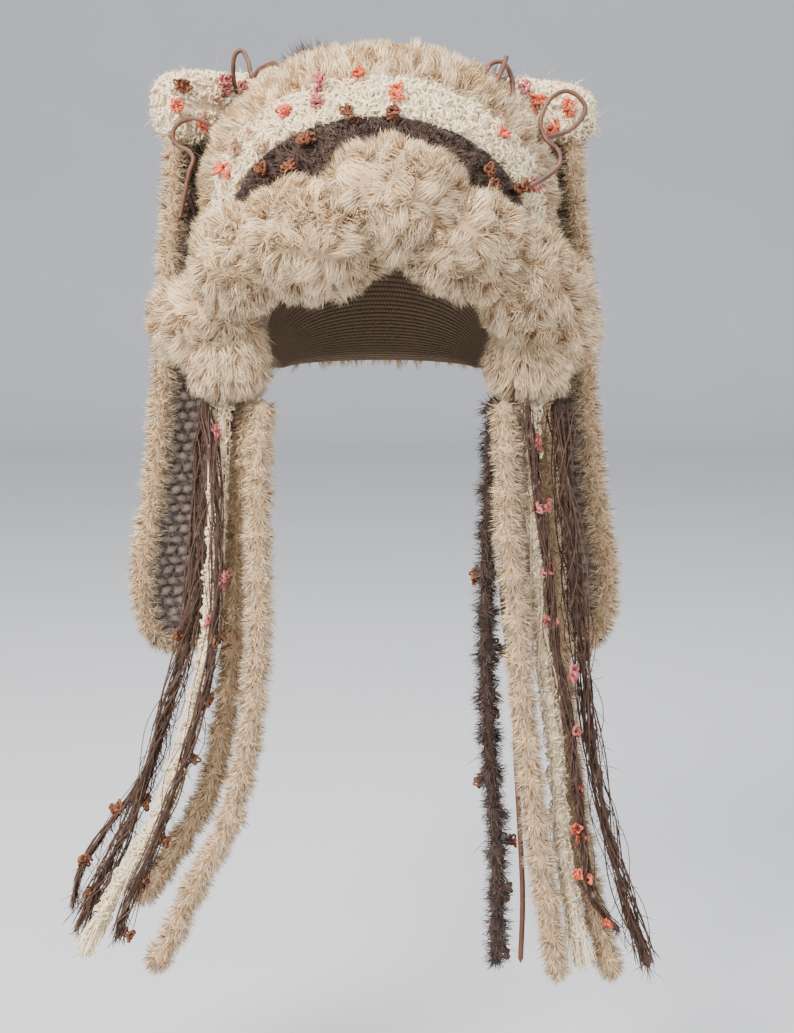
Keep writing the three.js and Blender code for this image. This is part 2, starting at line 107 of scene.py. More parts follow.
@dataclass
class Studio:
    """The camera at the photograph's angle, the soft lights and the pale floor.

    The lights face the heart. Behind the hat the floor bends up into a wall, by the width and the steps
    of its sweep.
    """

    eye: Point = (0.015234, -1.23461, -0.12935)
    tilt: float = 81.0
    lens: float = 75.57
    sensor: float = 36.0
    floor: float = -0.80
    floor_size: float = 18.0
    wall_ahead: float = 5.5
    sweep_width: float = 1.0
    sweep_steps: int = 16
    smooth_angle: float = 40.0
    floor_colour: Colour = (0.56, 0.57, 0.60)
    heart: Point = (0.0, 0.0, -0.2)
    sky: float = 0.92
    sky_tint: Colour = (0.93, 0.96, 1.0)

    def camera(self) -> None:
        """Adds the camera and makes it the scene's own."""
        bpy.ops.object.camera_add(location=self.eye, rotation=(math.radians(self.tilt), 0, 0))
        camera = bpy.context.object
        camera.name = "view"
        camera.data.sensor_fit = "HORIZONTAL"
        camera.data.sensor_width = self.sensor
        camera.data.lens = self.lens
        camera.data.clip_start = 0.01
        bpy.context.scene.camera = camera

    def lights(self) -> None:
        """Adds the sky and the three lights."""
        world = bpy.data.worlds.new("soft_sky")
        bpy.context.scene.world = world
        world.use_nodes = True
        sky = world.node_tree.nodes["Background"]
        sky.inputs["Color"].default_value = (*self.sky_tint, 1.0)
        sky.inputs["Strength"].default_value = self.sky
        for lamp in LAMPS:
            lamp.add(self.heart)

    def stage(self) -> None:
        """Adds the pale floor, which rises behind the hat in a soft sweep."""
        half = self.floor_size / 2
        bpy.ops.object.select_all(action="DESELECT")
        middle = (0, self.wall_ahead - half, self.floor)
        bpy.ops.mesh.primitive_plane_add(size=self.floor_size, location=middle)
        floor = bpy.context.object
        floor.name = "studio_floor"
        bpy.ops.object.mode_set(mode="EDIT")
        bpy.ops.mesh.select_mode(type="EDGE")
        bpy.ops.mesh.select_all(action="DESELECT")
        bpy.ops.object.mode_set(mode="OBJECT")
        for edge in floor.data.edges:
            ends = [floor.data.vertices[i].co.y for i in edge.vertices]
            edge.select = min(ends) > half - 1e-3
        bpy.ops.object.mode_set(mode="EDIT")
        bpy.ops.mesh.extrude_region_move(TRANSFORM_OT_translate={"value": (0, 0, half)})
        bpy.ops.mesh.select_all(action="DESELECT")
        bpy.ops.object.mode_set(mode="OBJECT")
        bend = floor.modifiers.new("sweep", "BEVEL")
        bend.width = self.sweep_width
        bend.segments = self.sweep_steps
        bend.limit_method = "ANGLE"
        bpy.ops.object.modifier_apply(modifier="sweep")
        bpy.ops.object.shade_smooth_by_angle(angle=math.radians(self.smooth_angle))
        floor.data.materials.append(Plain("studio_floor", self.floor_colour).material())


# Materials


class Mix(Enum):
    """How a second colour is laid over a first."""

    BLEND = "MIX"
    TIMES = "MULTIPLY"


class Reading:
    """A socket that takes part in sums, and adds the Math nodes for them."""

    def __init__(self, shader: "Shader", socket: bpy.types.NodeSocket) -> None:
        """Keeps the shader and the socket."""
        self.shader = shader
        self.socket = socket

    def __add__(self, other: "Reading | float") -> "Reading":
        """Adds."""
        return self.shader.sum("ADD", self, other)

    __radd__ = __add__

    def __mul__(self, other: "Reading | float") -> "Reading":
        """Multiplies."""
        return self.shader.sum("MULTIPLY", self, other)

    __rmul__ = __mul__

    def __sub__(self, other: "Reading | float") -> "Reading":
        """Subtracts."""
        return self.shader.sum("SUBTRACT", self, other)

    def __rsub__(self, other: "Reading | float") -> "Reading":
        """Subtracts this from a number."""
        return self.shader.sum("SUBTRACT", other, self)

    def held(self) -> "Reading":
        """Keeps the value between 0 and 1."""
        return self.shader.sum("ADD", self, 0.0, clamp=True)

    def humps(self) -> "Reading":
        """Gives the height of a row of round humps, one for each whole number."""
        return self.shader.sum("ABSOLUTE", self.shader.sum("SINE", self * math.pi))


class Shader:
    """The node tree of one material. One method adds any node, and the others call it."""

    def __init__(self, name: str) -> None:
        """Starts a material with a Principled shader.

        Args:
            name: The material's name.
        """
        self.material = bpy.data.materials.new(name)
        self.material.use_nodes = True
        self.tree = self.material.node_tree
        self.surface = self.tree.nodes["Principled BSDF"]

    def put(self, socket: bpy.types.NodeSocket, value: object) -> None:
        """Links a reading to a socket, or sets a plain value on it.

        Args:
            socket: The socket.
            value: The reading or the value. A colour of three numbers is made opaque.
        """
        if isinstance(value, Reading):
            self.tree.links.new(value.socket, socket)
        elif isinstance(value, tuple) and len(value) == 3 and len(socket.default_value) == 4:
            socket.default_value = (*value, 1.0)
        else:
            socket.default_value = value

    def node(self, kind: str, settings: dict, inputs: dict, out: int | str = 0) -> Reading:
        """Adds a node.

        Args:
            kind: The node's type.
            settings: Its properties, set before its sockets. "stops" holds a ramp's places and colours.
            inputs: Values or readings by socket name or number.
            out: The output that is read.

        Returns:
            The output, ready for sums.
        """
        node = self.tree.nodes.new(kind)
        for key, value in settings.items():
            if key == "stops":
                ramp = node.color_ramp.elements
                while len(ramp) < len(value):
                    ramp.new(0.5)
                for stop, (place, colour) in zip(ramp, value):
                    stop.position = place
                    stop.color = (*colour, 1.0)
            else:
                setattr(node, key, value)
        for key, value in inputs.items():
            self.put(node.inputs[key], value)
        return Reading(self, node.outputs[out])

    def sum(self, operation: str, *values: "Reading | float", clamp: bool = False) -> Reading:
        """Adds a Math node.

        Args:
            operation: Its operation.
            values: Its inputs, in order.
            clamp: Whether the result stays between 0 and 1.

        Returns:
            Its result.
        """
        settings = {"operation": operation, "use_clamp": clamp}
        return self.node("ShaderNodeMath", settings, dict(enumerate(values)))

    def attribute(self, name: str) -> Reading:
        """Reads a number that each point of a piece carries."""
        return self.node("ShaderNodeAttribute", {"attribute_name": name}, {}, "Fac")

    def place(self) -> Reading:
        """Reads the place on the piece."""
        return self.node("ShaderNodeTexCoord", {}, {}, "Object")

    def noise(self, scale: float, detail: float = 2.0, rough: float = 0.5) -> Reading:
        """Reads soft noise of a given scale, from 0 to 1."""
        inputs = {"Vector": self.place(), "Scale": scale, "Detail": detail, "Roughness": rough}
        return self.node("ShaderNodeTexNoise", {}, inputs, "Fac")

    def blend(
        self, factor: "Reading | float", first: object, second: object, how: Mix = Mix.BLEND
    ) -> Reading:
        """Lays one colour over another.

        Args:
            factor: How much of the second colour.
            first: The colour beneath.
            second: The colour on top.
            how: The way they mix.

        Returns:
            The mixed colour.
        """
        settings = {"data_type": "RGBA", "blend_type": how.value}
        return self.node("ShaderNodeMix", settings, {0: factor, 6: first, 7: second}, 2)

    def ramp(self, value: Reading, stops: Sequence[tuple[float, Colour]]) -> Reading:
        """Turns a value into a colour."""
        return self.node("ShaderNodeValToRGB", {"stops": stops}, {0: value})

    def bump(self, height: Reading, strength: float, depth: float) -> Reading:
        """Turns a height into a normal, by a share of its strength and a depth in metres."""
        inputs = {"Height": height, "Strength": strength, "Distance": depth}
        return self.node("ShaderNodeBump", {}, inputs)

    def finish(self, **values: object) -> bpy.types.Material:
        """Sets the surface's sockets.

        Args:
            values: A value or reading for each socket, by its name with underscores for spaces.

        Returns:
            The material.
        """
        for key, value in values.items():
            self.put(self.surface.inputs[key.replace("_", " ")], value)
        return self.material


YARN_GLOSS = 0.2


class Finish(ABC):
    """A finish that makes its material once.

    Its shader reads two numbers from the piece: tip, from 0 at the root of a hair to 1 at its tip, and
    tone, from 0 for the darkest yarn to 1 for the lightest.
    """

    made: dict[str, bpy.types.Material] = {}
    name: str

    @abstractmethod
    def paint(self, shader: Shader) -> bpy.types.Material:
        """Fills the shader.

        Args:
            shader: The shader of the finish's material.

        Returns:
            The material.
        """

    def material(self) -> bpy.types.Material:
        """Makes the finish's material when it is first asked for.

        Returns:
            The material.
        """
        if self.name not in Finish.made:
            Finish.made[self.name] = self.paint(Shader(self.name))
        return Finish.made[self.name]


@dataclass(frozen=True)
class Plain(Finish):
    """A matt finish with a faint mottle, for the studio."""

    name: str
    colour: Colour

    def paint(self, shader: Shader) -> bpy.types.Material:
        """Fills the shader.

        Args:
            shader: The shader of the finish's material.

        Returns:
            The material.
        """
        mottle = shader.noise(3.0)
        paler = tuple(part * 1.03 for part in self.colour)
        shade = shader.ramp(mottle, [(0.3, self.colour), (0.7, paler)])
        return shader.finish(Base_Color=shade, Roughness=0.9)


@dataclass(frozen=True)
class Fur(Finish):
    """Long soft yarn fur, pale at the tips of the hairs. Its dark root colour is painted shade, deep in the
    pile and between the locks.
    """

    name: str
    root: Colour
    middle: Colour
    end: Colour
    patch: Colour
    sheen: float = 0.15
    spread: float = 0.45

    def paint(self, shader: Shader) -> bpy.types.Material:
        """Fills the shader.

        Args:
            shader: The shader of the finish's material.

        Returns:
            The material.
        """
        along = shader.attribute("tip")
        tone = shader.attribute("tone")
        # Painted shade: the ramp darkens each hair towards its root, and skins set low take the dark root
        # colour, where the pile is shaded.
        hair = shader.ramp(along, [(0.0, self.root), (0.45, self.middle), (1.0, self.end)])
        cloud = (shader.noise(26.0, 3.0) - 0.38) * 1.6
        mottled = shader.blend((cloud * 0.5).held(), hair, self.patch)
        light = tone * self.spread + (1 - self.spread / 2)
        grey = shader.node("ShaderNodeCombineColor", {}, {0: light, 1: light, 2: light})
        shade = shader.blend(1.0, mottled, grey, Mix.TIMES)
        rough = 0.8 + tone * 0.15
        return shader.finish(
            Base_Color=shade, Roughness=rough, Sheen_Weight=self.sheen, Specular_IOR_Level=YARN_GLOSS
        )


@dataclass(frozen=True)
class Yarn(Finish):
    """Spun yarn: its shade changes from strand to strand, and fine twist shows as bump."""

    name: str
    dark: Colour
    light: Colour
    fleck: Colour
    twist: float = 900.0
    rough: float = 0.85

    def paint(self, shader: Shader) -> bpy.types.Material:
        """Fills the shader.

        Args:
            shader: The shader of the finish's material.

        Returns:
            The material.
        """
        tone = shader.attribute("tone")
        along = shader.attribute("tip")
        # Painted shade: a low tip darkens loops, petals and stitches towards their ends, where they meet the
        # surface, and skins set low.
        mix = (tone * 0.7 + along * 0.3).held()
        strand = shader.blend(mix, self.dark, self.light)
        specks = ((shader.noise(160.0, 1.0) - 0.6) * 5.0).held()
        shade = shader.blend(specks * 0.5, strand, self.fleck)
        fibres = shader.noise(self.twist, 2.0, 0.6)
        normal = shader.bump(fibres, 0.5, 0.0006)
        return shader.finish(
            Base_Color=shade, Roughness=self.rough, Normal=normal, Specular_IOR_Level=YARN_GLOSS
        )


@dataclass(frozen=True)
class Lining(Finish):
    """The plain knit of the cap's inside: rows of stitches as bump, with painted shade darker between them.

    Here tip counts the rows and tone the stitches.
    """

    name: str
    shaded_groove: Colour
    crest: Colour

    def paint(self, shader: Shader) -> bpy.types.Material:
        """Fills the shader.

        Args:
            shader: The shader of the finish's material.

        Returns:
            The material.
        """
        row, stitch = shader.attribute("tip"), shader.attribute("tone")
        shift = shader.sum("FLOOR", row) * 0.5
        height = row.humps() * ((stitch + shift).humps() * 0.6 + 0.4)
        yarn = shader.noise(700.0, 2.0)
        # Painted shade: the grooves between the rows take the darker colour.
        shade = shader.blend((height * 0.8 + yarn * 0.3).held(), self.shaded_groove, self.crest)
        normal = shader.bump(height + yarn * 0.25, 0.5, 0.0015)
        return shader.finish(
            Base_Color=shade, Roughness=0.9, Normal=normal, Specular_IOR_Level=YARN_GLOSS
        )


@dataclass(frozen=True)
class Leather(Finish):
    """Waxed leather lace: streaked brown with a soft gloss and fine pores."""

    name: str
    dark: Colour
    light: Colour

    def paint(self, shader: Shader) -> bpy.types.Material:
        """Fills the shader.

        Args:
            shader: The shader of the finish's material.

        Returns:
            The material.
        """
        streak = shader.noise(120.0, 3.0, 0.6)
        edge = shader.attribute("tip")
        shade = shader.blend((streak * 0.8 + edge * 0.3).held(), self.dark, self.light)
        pores = shader.noise(1500.0, 2.0)
        normal = shader.bump(pores, 0.35, 0.0004)
        return shader.finish(Base_Color=shade, Roughness=0.42 + streak * 0.2, Normal=normal)


# For each Fur the first colour is painted shade: the dark roots deep in the pile.
BEIGE = Fur("beige_fur", (0.34, 0.222, 0.130), (0.76, 0.545, 0.325), (0.97, 0.79, 0.52), (0.58, 0.41, 0.27))
BROWN = Fur(
    "brown_fuzz", (0.035, 0.020, 0.016), (0.085, 0.053, 0.043), (0.17, 0.11, 0.09), (0.05, 0.03, 0.025)
)
CREAM = Yarn("cream_boucle", (0.82, 0.64, 0.42), (0.97, 0.84, 0.61), (0.98, 0.91, 0.74))
# The lining's colours are kept dark as painted shade of the cap's hollow, with painted shade darker still in
# the grooves between rows.
KNIT = Lining("knit_lining", (0.15, 0.105, 0.070), (0.31, 0.225, 0.150))
TAUPE = Yarn("taupe_knit", (0.115, 0.085, 0.072), (0.205, 0.160, 0.136), (0.28, 0.23, 0.20), 500.0)
TAUPE_FUZZ = Fur(
    "taupe_fuzz", (0.06, 0.045, 0.037), (0.15, 0.115, 0.097), (0.27, 0.22, 0.19), (0.10, 0.08, 0.065)
)
MOHAIR = Yarn("brown_yarn", (0.030, 0.017, 0.013), (0.125, 0.072, 0.052), (0.30, 0.19, 0.14))
CORAL = Yarn("coral_blossom", (0.48, 0.070, 0.032), (0.86, 0.20, 0.105), (0.95, 0.45, 0.32))
PINK = Yarn("pink_blossom", (0.32, 0.075, 0.08), (0.58, 0.18, 0.17), (0.75, 0.38, 0.35))
RUST = Yarn("rust_blossom", (0.10, 0.034, 0.017), (0.24, 0.092, 0.048), (0.38, 0.18, 0.10))
TAN = Yarn("tan_blossom", (0.42, 0.24, 0.14), (0.72, 0.47, 0.31), (0.85, 0.65, 0.50))
LACE = Leather("leather_lace", (0.048, 0.016, 0.008), (0.17, 0.063, 0.032))


# Lines, surfaces and the yarn that grows on them


def unit(vectors: Array) -> Array:
    """Scales vectors to length one."""
    return vectors / np.maximum(np.linalg.norm(vectors, axis=-1, keepdims=True), 1e-12)


def rows(*columns: "Array | float") -> Array:
    """Joins coordinates into points."""
    return np.stack(np.broadcast_arrays(*columns), -1)


def smooth(value: "Array | float") -> Array:
    """Eases a value between 0 and 1."""
    held = np.clip(value, 0.0, 1.0)
    return held * held * (3 - 2 * held)


def bulge(value: Array, power: float) -> Array:
    """Squares off a sine or cosine, and keeps its sign."""
    return np.sign(value) * np.abs(value) ** power


class Spline:
    """A smooth line through chosen points, drawn as the CAD source draws it."""

    def __init__(self, knots: Sequence[Point], dense: int = 40) -> None:
        """Works out the line.

        Args:
            knots: The points that it passes.
            dense: How many short steps lie between two of them.
        """
        spots = np.array(knots, float)
        ends = np.vstack([2 * spots[0] - spots[1], spots, 2 * spots[-1] - spots[-2]])
        step = np.linspace(0, 1, dense, endpoint=False)[:, None]
        parts = []
        for i in range(len(spots) - 1):
            a, b, c, d = ends[i : i + 4]
            before, here, after = (math.sqrt(np.linalg.norm(q - p)) for p, q in ((a, b), (b, c), (c, d)))
            leave = ((b - a) / before - (c - a) / (before + here) + (c - b) / here) * here
            reach = ((c - b) / here - (d - b) / (here + after) + (d - c) / after) * here
            bend = -3 * b + 3 * c - 2 * leave - reach
            parts.append(b + leave * step + bend * step**2 + (2 * b - 2 * c + leave + reach) * step**3)
        self.points = np.vstack([*parts, spots[-1:]])
        self.shares = np.linspace(0, 1, len(self.points))
        run = np.cumsum(np.linalg.norm(np.diff(self.points, axis=0), axis=1))
        self.length = float(run[-1])
        self.run = np.concatenate([[0.0], run]) / self.length

    def at(self, share: "Array | float", even: bool = True) -> Array:
        """Gives points of the line.

        Args:
            share: Shares from 0 to 1.
            even: Whether the shares are of its length, or of its number of points.

        Returns:
            One point for each share.
        """
        base = self.run if even else self.shares
        return rows(*(np.interp(share, base, self.points[:, k]) for k in range(3)))

    def along(self, share: "Array | float", even: bool = True) -> Array:
        """Gives the line's direction at shares of it.

        Args:
            share: Shares from 0 to 1.
            even: Whether the shares are of its length, or of its number of points.

        Returns:
            One direction for each share.
        """
        step = 4e-3
        share = np.asarray(share, float)
        ahead = self.at(np.minimum(share + step, 1), even)
        return unit(ahead - self.at(np.maximum(share - step, 0), even))


class Work:
    """Triangles that are gathered part by part and made into one piece."""

    def __init__(self) -> None:
        """Starts with nothing."""
        self.parts: list[tuple[Array, Array, Array, Array, Array, Array]] = []
        self.count = 0

    def add(
        self, points: Array, faces: Array, tip: "Array | float", tone: "Array | float",
        slot: "Array | int" = 0, facing: Array | None = None,
    ) -> None:
        """Adds a part.

        Args:
            points: Its points.
            faces: Its triangles, by point.
            tip: How far each point is from root to tip.
            tone: How light the yarn is there.
            slot: Its finish's number, or one for each triangle.
            facing: Normals for soft shading, or none for its own.
        """
        count = len(points)
        soft = np.zeros((count, 3)) if facing is None else facing
        marks = np.broadcast_to(slot, len(faces))
        tips, tones = (np.broadcast_to(value, count) for value in (tip, tone))
        self.parts.append((points, faces + self.count, tips, tones, marks, soft))
        self.count += count

    def made(
        self, name: str, finishes: Sequence[Finish], slot: str, node: str = "", soft: bool = True
    ) -> bpy.types.Object:
        """Makes the piece.

        Args:
            name: The piece's name.
            finishes: Its finishes, in the order of their numbers.
            slot: The record's material slot. It is not used.
            node: The CAD node that it stands for.
            soft: Whether the parts' soft normals are used.

        Returns:
            The piece, riding on the hat.
        """
        columns = (np.concatenate(column) for column in zip(*self.parts))
        points, faces, tips, tones, marks, facing = columns
        mesh = bpy.data.meshes.new(name)
        mesh.vertices.add(len(points))
        mesh.vertices.foreach_set("co", points.astype(np.float32).ravel())
        mesh.loops.add(faces.size)
        mesh.loops.foreach_set("vertex_index", faces.astype(np.int32).ravel())
        mesh.polygons.add(len(faces))
        mesh.polygons.foreach_set("loop_start", np.arange(0, faces.size, 3, dtype=np.int32))
        mesh.polygons.foreach_set("material_index", marks.astype(np.int32))
        mesh.polygons.foreach_set("use_smooth", np.ones(len(faces), bool))
        mesh.update(calc_edges=True)
        for label, values in (("tip", tips), ("tone", tones)):
            data = mesh.attributes.new(label, "FLOAT", "POINT").data
            data.foreach_set("value", values.astype(np.float32))
        if soft and np.any(facing):
            mesh.normals_split_custom_set_from_vertices(facing.tolist())
        for finish in finishes:
            mesh.materials.append(finish.material())
        piece = bpy.data.objects.new(name, mesh)
        bpy.context.scene.collection.objects.link(piece)
        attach(piece, BODY)
        if node:
            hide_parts(node)
        LOG.info("%s: %d triangles", name, len(faces))
        return piece


def grid(across: int, down: int, wraps: bool, flip: bool) -> Array:
    """Gives the triangles between the rows and columns of a net of points.

    Args:
        across: How many steps from row to row.
        down: How many steps along a row.
        wraps: Whether each row closes on itself.
        flip: Whether the triangles are turned over.

    Returns:
        The triangles, by point.
    """
    wide = down if wraps else down + 1
    i, j = (n.ravel() for n in np.meshgrid(np.arange(across), np.arange(down), indexing="ij"))
    k = (j + 1) % wide
    a, b, c, d = i * wide + j, (i + 1) * wide + j, (i + 1) * wide + k, i * wide + k
    faces = np.concatenate([rows(a, b, c), rows(a, c, d)])
    return faces[:, ::-1] if flip else faces


def blades(
    work: Work, paths: Array, out: Array, width: "Array | float", tone: "Array | float",
    rng: np.random.Generator, slot: int = 0,
) -> None:
    """Adds flat pointed hairs along short paths. Their shading mostly follows the surface under them.

    Args:
        work: The piece that they are added to.
        paths: The points of each hair, from root to tip.
        out: The way that the surface faces under each.
        width: How wide they are at the root.
        tone: How light each is.
        rng: The random source.
        slot: Their finish's number.
    """
    roll, soft = 0.7, 0.75
    count, steps, _ = paths.shape
    lead = unit(paths[:, -1] - paths[:, 0])
    face = unit(out + roll * rng.normal(size=(count, 3)))
    side = unit(np.cross(lead, face))
    half = (np.broadcast_to(width, count) / 2)[:, None, None]
    taper = np.linspace(1, 0.7, steps)[None, :, None]
    left, right = paths - side[:, None] * half * taper, paths + side[:, None] * half * taper
    pairs = steps - 1
    points = np.stack([left[:, :pairs], right[:, :pairs]], 2).reshape(count, -1, 3)
    points = np.concatenate([points, paths[:, -1:]], 1)
    marks = np.append(np.repeat(np.linspace(0, 1, steps)[:pairs], 2), 1.0)
    k = np.arange(pairs - 1) * 2
    point = [[2 * pairs - 2, 2 * pairs - 1, 2 * pairs]]
    faces = np.concatenate([rows(k, k + 1, k + 3), rows(k, k + 3, k + 2), point])
    each = points.shape[1]
    faces = (faces[None] + (np.arange(count) * each)[:, None, None]).reshape(-1, 3)
    flat = face - lead * np.sum(face * lead, 1, keepdims=True)
    shade = np.repeat(unit(out * soft + unit(flat) * (1 - soft)), each, 0)
    tones = np.repeat(np.broadcast_to(tone, count), each)
    work.add(points.reshape(-1, 3), faces, np.tile(marks, count), tones, slot, shade)


def rods(
    work: Work, paths: Array, radius: "Array | float", sides: int, tone: "Array | float", slot: int = 0,
    spin: Array | None = None, tip: "Array | float" = 0.6, blunt: float = 0.12,
) -> None:
    """Adds round strands along paths, closed at their ends.

    Args:
        work: The piece that they are added to.
        paths: The points of each strand.
        radius: Their radius, for all, or for each point of each.
        sides: How many sides they have.
        tone: How light each is.
        slot: Their finish's number.
        spin: A direction that each strand's section is measured from.
        tip: Where their colour lies between root and tip.
        blunt: What is left of the radius at the ends.
    """
    count, steps, _ = paths.shape
    lead = np.empty_like(paths)
    lead[:, 1:-1] = paths[:, 2:] - paths[:, :-2]
    lead[:, 0], lead[:, -1] = paths[:, 1] - paths[:, 0], paths[:, -1] - paths[:, -2]
    lead = unit(lead)
    if spin is None:
        chord = unit(paths[:, -1] - paths[:, 0] + 1e-9)
        spin = np.cross(chord, np.where(np.abs(chord[:, :1]) < 0.7, [[1.0, 0, 0]], [[0, 1.0, 0]]))
    first = unit(np.cross(lead, np.broadcast_to(spin[:, None], lead.shape)))
    second = np.cross(lead, first)
    size = np.broadcast_to(radius, (count, steps)).copy()
    size[:, [0, -1]] *= blunt
    angle = np.linspace(0, 2 * np.pi, sides, endpoint=False)
    ring = first[:, :, None] * np.cos(angle)[:, None] + second[:, :, None] * np.sin(angle)[:, None]
    points = (paths[:, :, None] + ring * size[:, :, None, None]).reshape(count, -1, 3)
    caps = [[0, k, k + 1] for k in range(1, sides - 1)]
    last = (steps - 1) * sides
    caps += [[last, last + k + 1, last + k] for k in range(1, sides - 1)]
    faces = np.concatenate([grid(steps - 1, sides, True, True), np.array(caps)])
    each = steps * sides
    faces = (faces[None] + (np.arange(count) * each)[:, None, None]).reshape(-1, 3)
    tones = np.repeat(np.broadcast_to(tone, count), each)
    tips = np.broadcast_to(tip, (count, steps))[:, :, None].repeat(sides, 2).ravel()
    work.add(points.reshape(-1, 3), faces, tips, tones, slot)


@dataclass(frozen=True)
class Pile:
    """How the hairs of a fur stand.

    Hairs is the number of bent ones and fine the number of straight ones between them. Length and width are
    theirs. They stand up, are combed along the surface, hang and stray by the shares given, and gather by a
    share into locks of a size, which lean each its own way by the share tuft.
    """

    hairs: int
    fine: int
    length: float
    width: float = 0.0007
    stand: float = 1.0
    comb: float = 0.4
    hang: float = 0.25
    stray: float = 0.35
    lock: float = 0.010
    gather: float = 0.35
    tuft: float = 0.55


class Patch(ABC):
    """A surface with shares u and v from 0 to 1, on which yarn grows."""

    wraps = False
    turn = 1.0
    cells = (60, 36)

    @abstractmethod
    def points(self, u: Array, v: Array) -> Array:
        """Gives points of the surface at shares of its two ways."""

    def combed(self, u: Array, v: Array) -> Array:
        """Gives the way that the pile is combed."""
        return self.ways(u, v)[0]

    def ways(self, u: Array, v: Array) -> tuple[Array, Array]:
        """Gives the directions of u and v.

        Args:
            u: The first shares of the points.
            v: Their second shares.

        Returns:
            Two directions for each point.
        """
        step = 3e-3
        ahead = self.points(np.minimum(u + step, 1), v) - self.points(np.maximum(u - step, 0), v)
        return unit(ahead), unit(self.points(u, v + step) - self.points(u, v - step))

    def normals(self, u: Array, v: Array) -> Array:
        """Gives the way that the surface faces."""
        return unit(np.cross(*self.ways(u, v))) * self.turn

    def net(self, across: int, down: int) -> Array:
        """Gives rows and columns of points over the whole surface."""
        u, v = np.meshgrid(np.linspace(0, 1, across + 1), np.linspace(0, 1, down + 1), indexing="ij")
        return self.points(u.ravel(), v.ravel()).reshape(across + 1, down + 1, 3)

    def scatter(self, count: int, rng: np.random.Generator) -> tuple[Array, Array]:
        """Picks shares that are spread evenly over the surface.

        Args:
            count: How many.
            rng: The random source.

        Returns:
            The shares u and v.
        """
        across, down = self.cells
        net = self.net(across, down)
        area = np.cross(net[1:, :-1] - net[:-1, :-1], net[:-1, 1:] - net[:-1, :-1])
        weight = np.linalg.norm(area, axis=-1).ravel()
        pick = rng.choice(weight.size, count, p=weight / weight.sum())
        return (pick // down + rng.random(count)) / across, (pick % down + rng.random(count)) / down

    def lengths(self) -> tuple[float, float]:
        """Gives the usual lengths of the surface's two ways.

        Returns:
            The lengths along u and along v.
        """
        net = self.net(*self.cells)
        long = np.linalg.norm(np.diff(net, axis=0), axis=-1).sum(0)
        wide = np.linalg.norm(np.diff(net, axis=1), axis=-1).sum(1)
        return float(np.mean(long)), float(np.quantile(wide, 0.7))

    def locks(self, u: Array, v: Array, size: float, rng: np.random.Generator) -> tuple[Array, Array, Array]:
        """Finds the lock that each hair gathers to.

        Args:
            u: The hairs' first shares.
            v: Their second shares.
            size: How far apart the locks are.
            rng: The random source.

        Returns:
            The shares of the lock's middle, and its number.
        """
        high, wide = (max(2, round(length / size)) for length in self.lengths())
        shift = rng.random((high + 2, wide + 2, 2))
        cell_u, cell_v = np.floor(u * high).astype(int), np.floor(v * wide).astype(int)
        best = np.full(len(u), np.inf)
        near_u, near_v, number = np.zeros(len(u)), np.zeros(len(u)), np.zeros(len(u), int)
        for i in (-1, 0, 1):
            for j in (-1, 0, 1):
                row, place = np.clip(cell_u + i, 0, high - 1), cell_v + j
                spot = place % wide if self.wraps else np.clip(place, 0, wide - 1)
                base = place if self.wraps else spot
                mid_u, mid_v = row + shift[row, spot, 0], base + shift[row, spot, 1]
                far = (mid_u - u * high) ** 2 + (mid_v - v * wide) ** 2
                win = far < best
                best = np.where(win, far, best)
                near_u, near_v = np.where(win, mid_u / high, near_u), np.where(win, mid_v / wide, near_v)
                number = np.where(win, row * wide + spot, number)
        return near_u, near_v, number

    def grow(
        self, work: Work, pile: Pile, rng: np.random.Generator, keep: Keep | None = None, slot: int = 0
    ) -> None:
        """Grows fur on the surface.

        Args:
            work: The piece that the hairs are added to.
            pile: How they stand.
            rng: The random source.
            keep: A test of the points that may grow hair.
            slot: Their finish's number.
        """
        u, v = self.scatter(pile.hairs + pile.fine, rng)
        bent = np.arange(len(u)) < pile.hairs
        if keep is not None:
            kept = keep(self.points(u, v))
            u, v, bent = u[kept], v[kept], bent[kept]
        root, out, comb = self.points(u, v), self.normals(u, v), self.combed(u, v)
        mid_u, mid_v, number = self.locks(u, v, pile.lock, rng)
        own = rng.normal(size=(number.max() + 1, 3))[number]
        own -= out * np.sum(own * out, 1, keepdims=True)
        luck = rng.random((number.max() + 1, 2))[number]
        middle, face = self.points(mid_u, mid_v), self.normals(mid_u, mid_v)
        lean = comb * pile.comb + DOWN * pile.hang + own * pile.tuft
        reach = pile.length * (0.78 + 0.4 * luck[:, :1])
        toward = unit(out * pile.stand + lean + rng.normal(size=out.shape) * pile.stray)
        hair = reach * (0.72 + 0.5 * rng.random((len(u), 1)))
        free = root + toward * hair
        lock = middle + unit(face * pile.stand + lean) * reach
        gather = pile.gather * (0.6 + 0.6 * rng.random((len(u), 1)))
        end = free + (lock - free) * gather
        bend = (root + end) / 2 + out * hair * 0.14
        shade = np.clip(0.5 + (luck[:, 1] - 0.5) * 0.6 + rng.normal(size=len(u)) * 0.16, 0, 1)
        width = pile.width * (0.75 + 0.5 * rng.random(len(u)))
        base = root - out * 0.0012
        for part, stops in ((bent, (base, bend, end)), (~bent, (base, end))):
            if part.any():
                paths = np.stack([stop[part] for stop in stops], 1)
                blades(work, paths, out[part], width[part], shade[part], rng, slot)

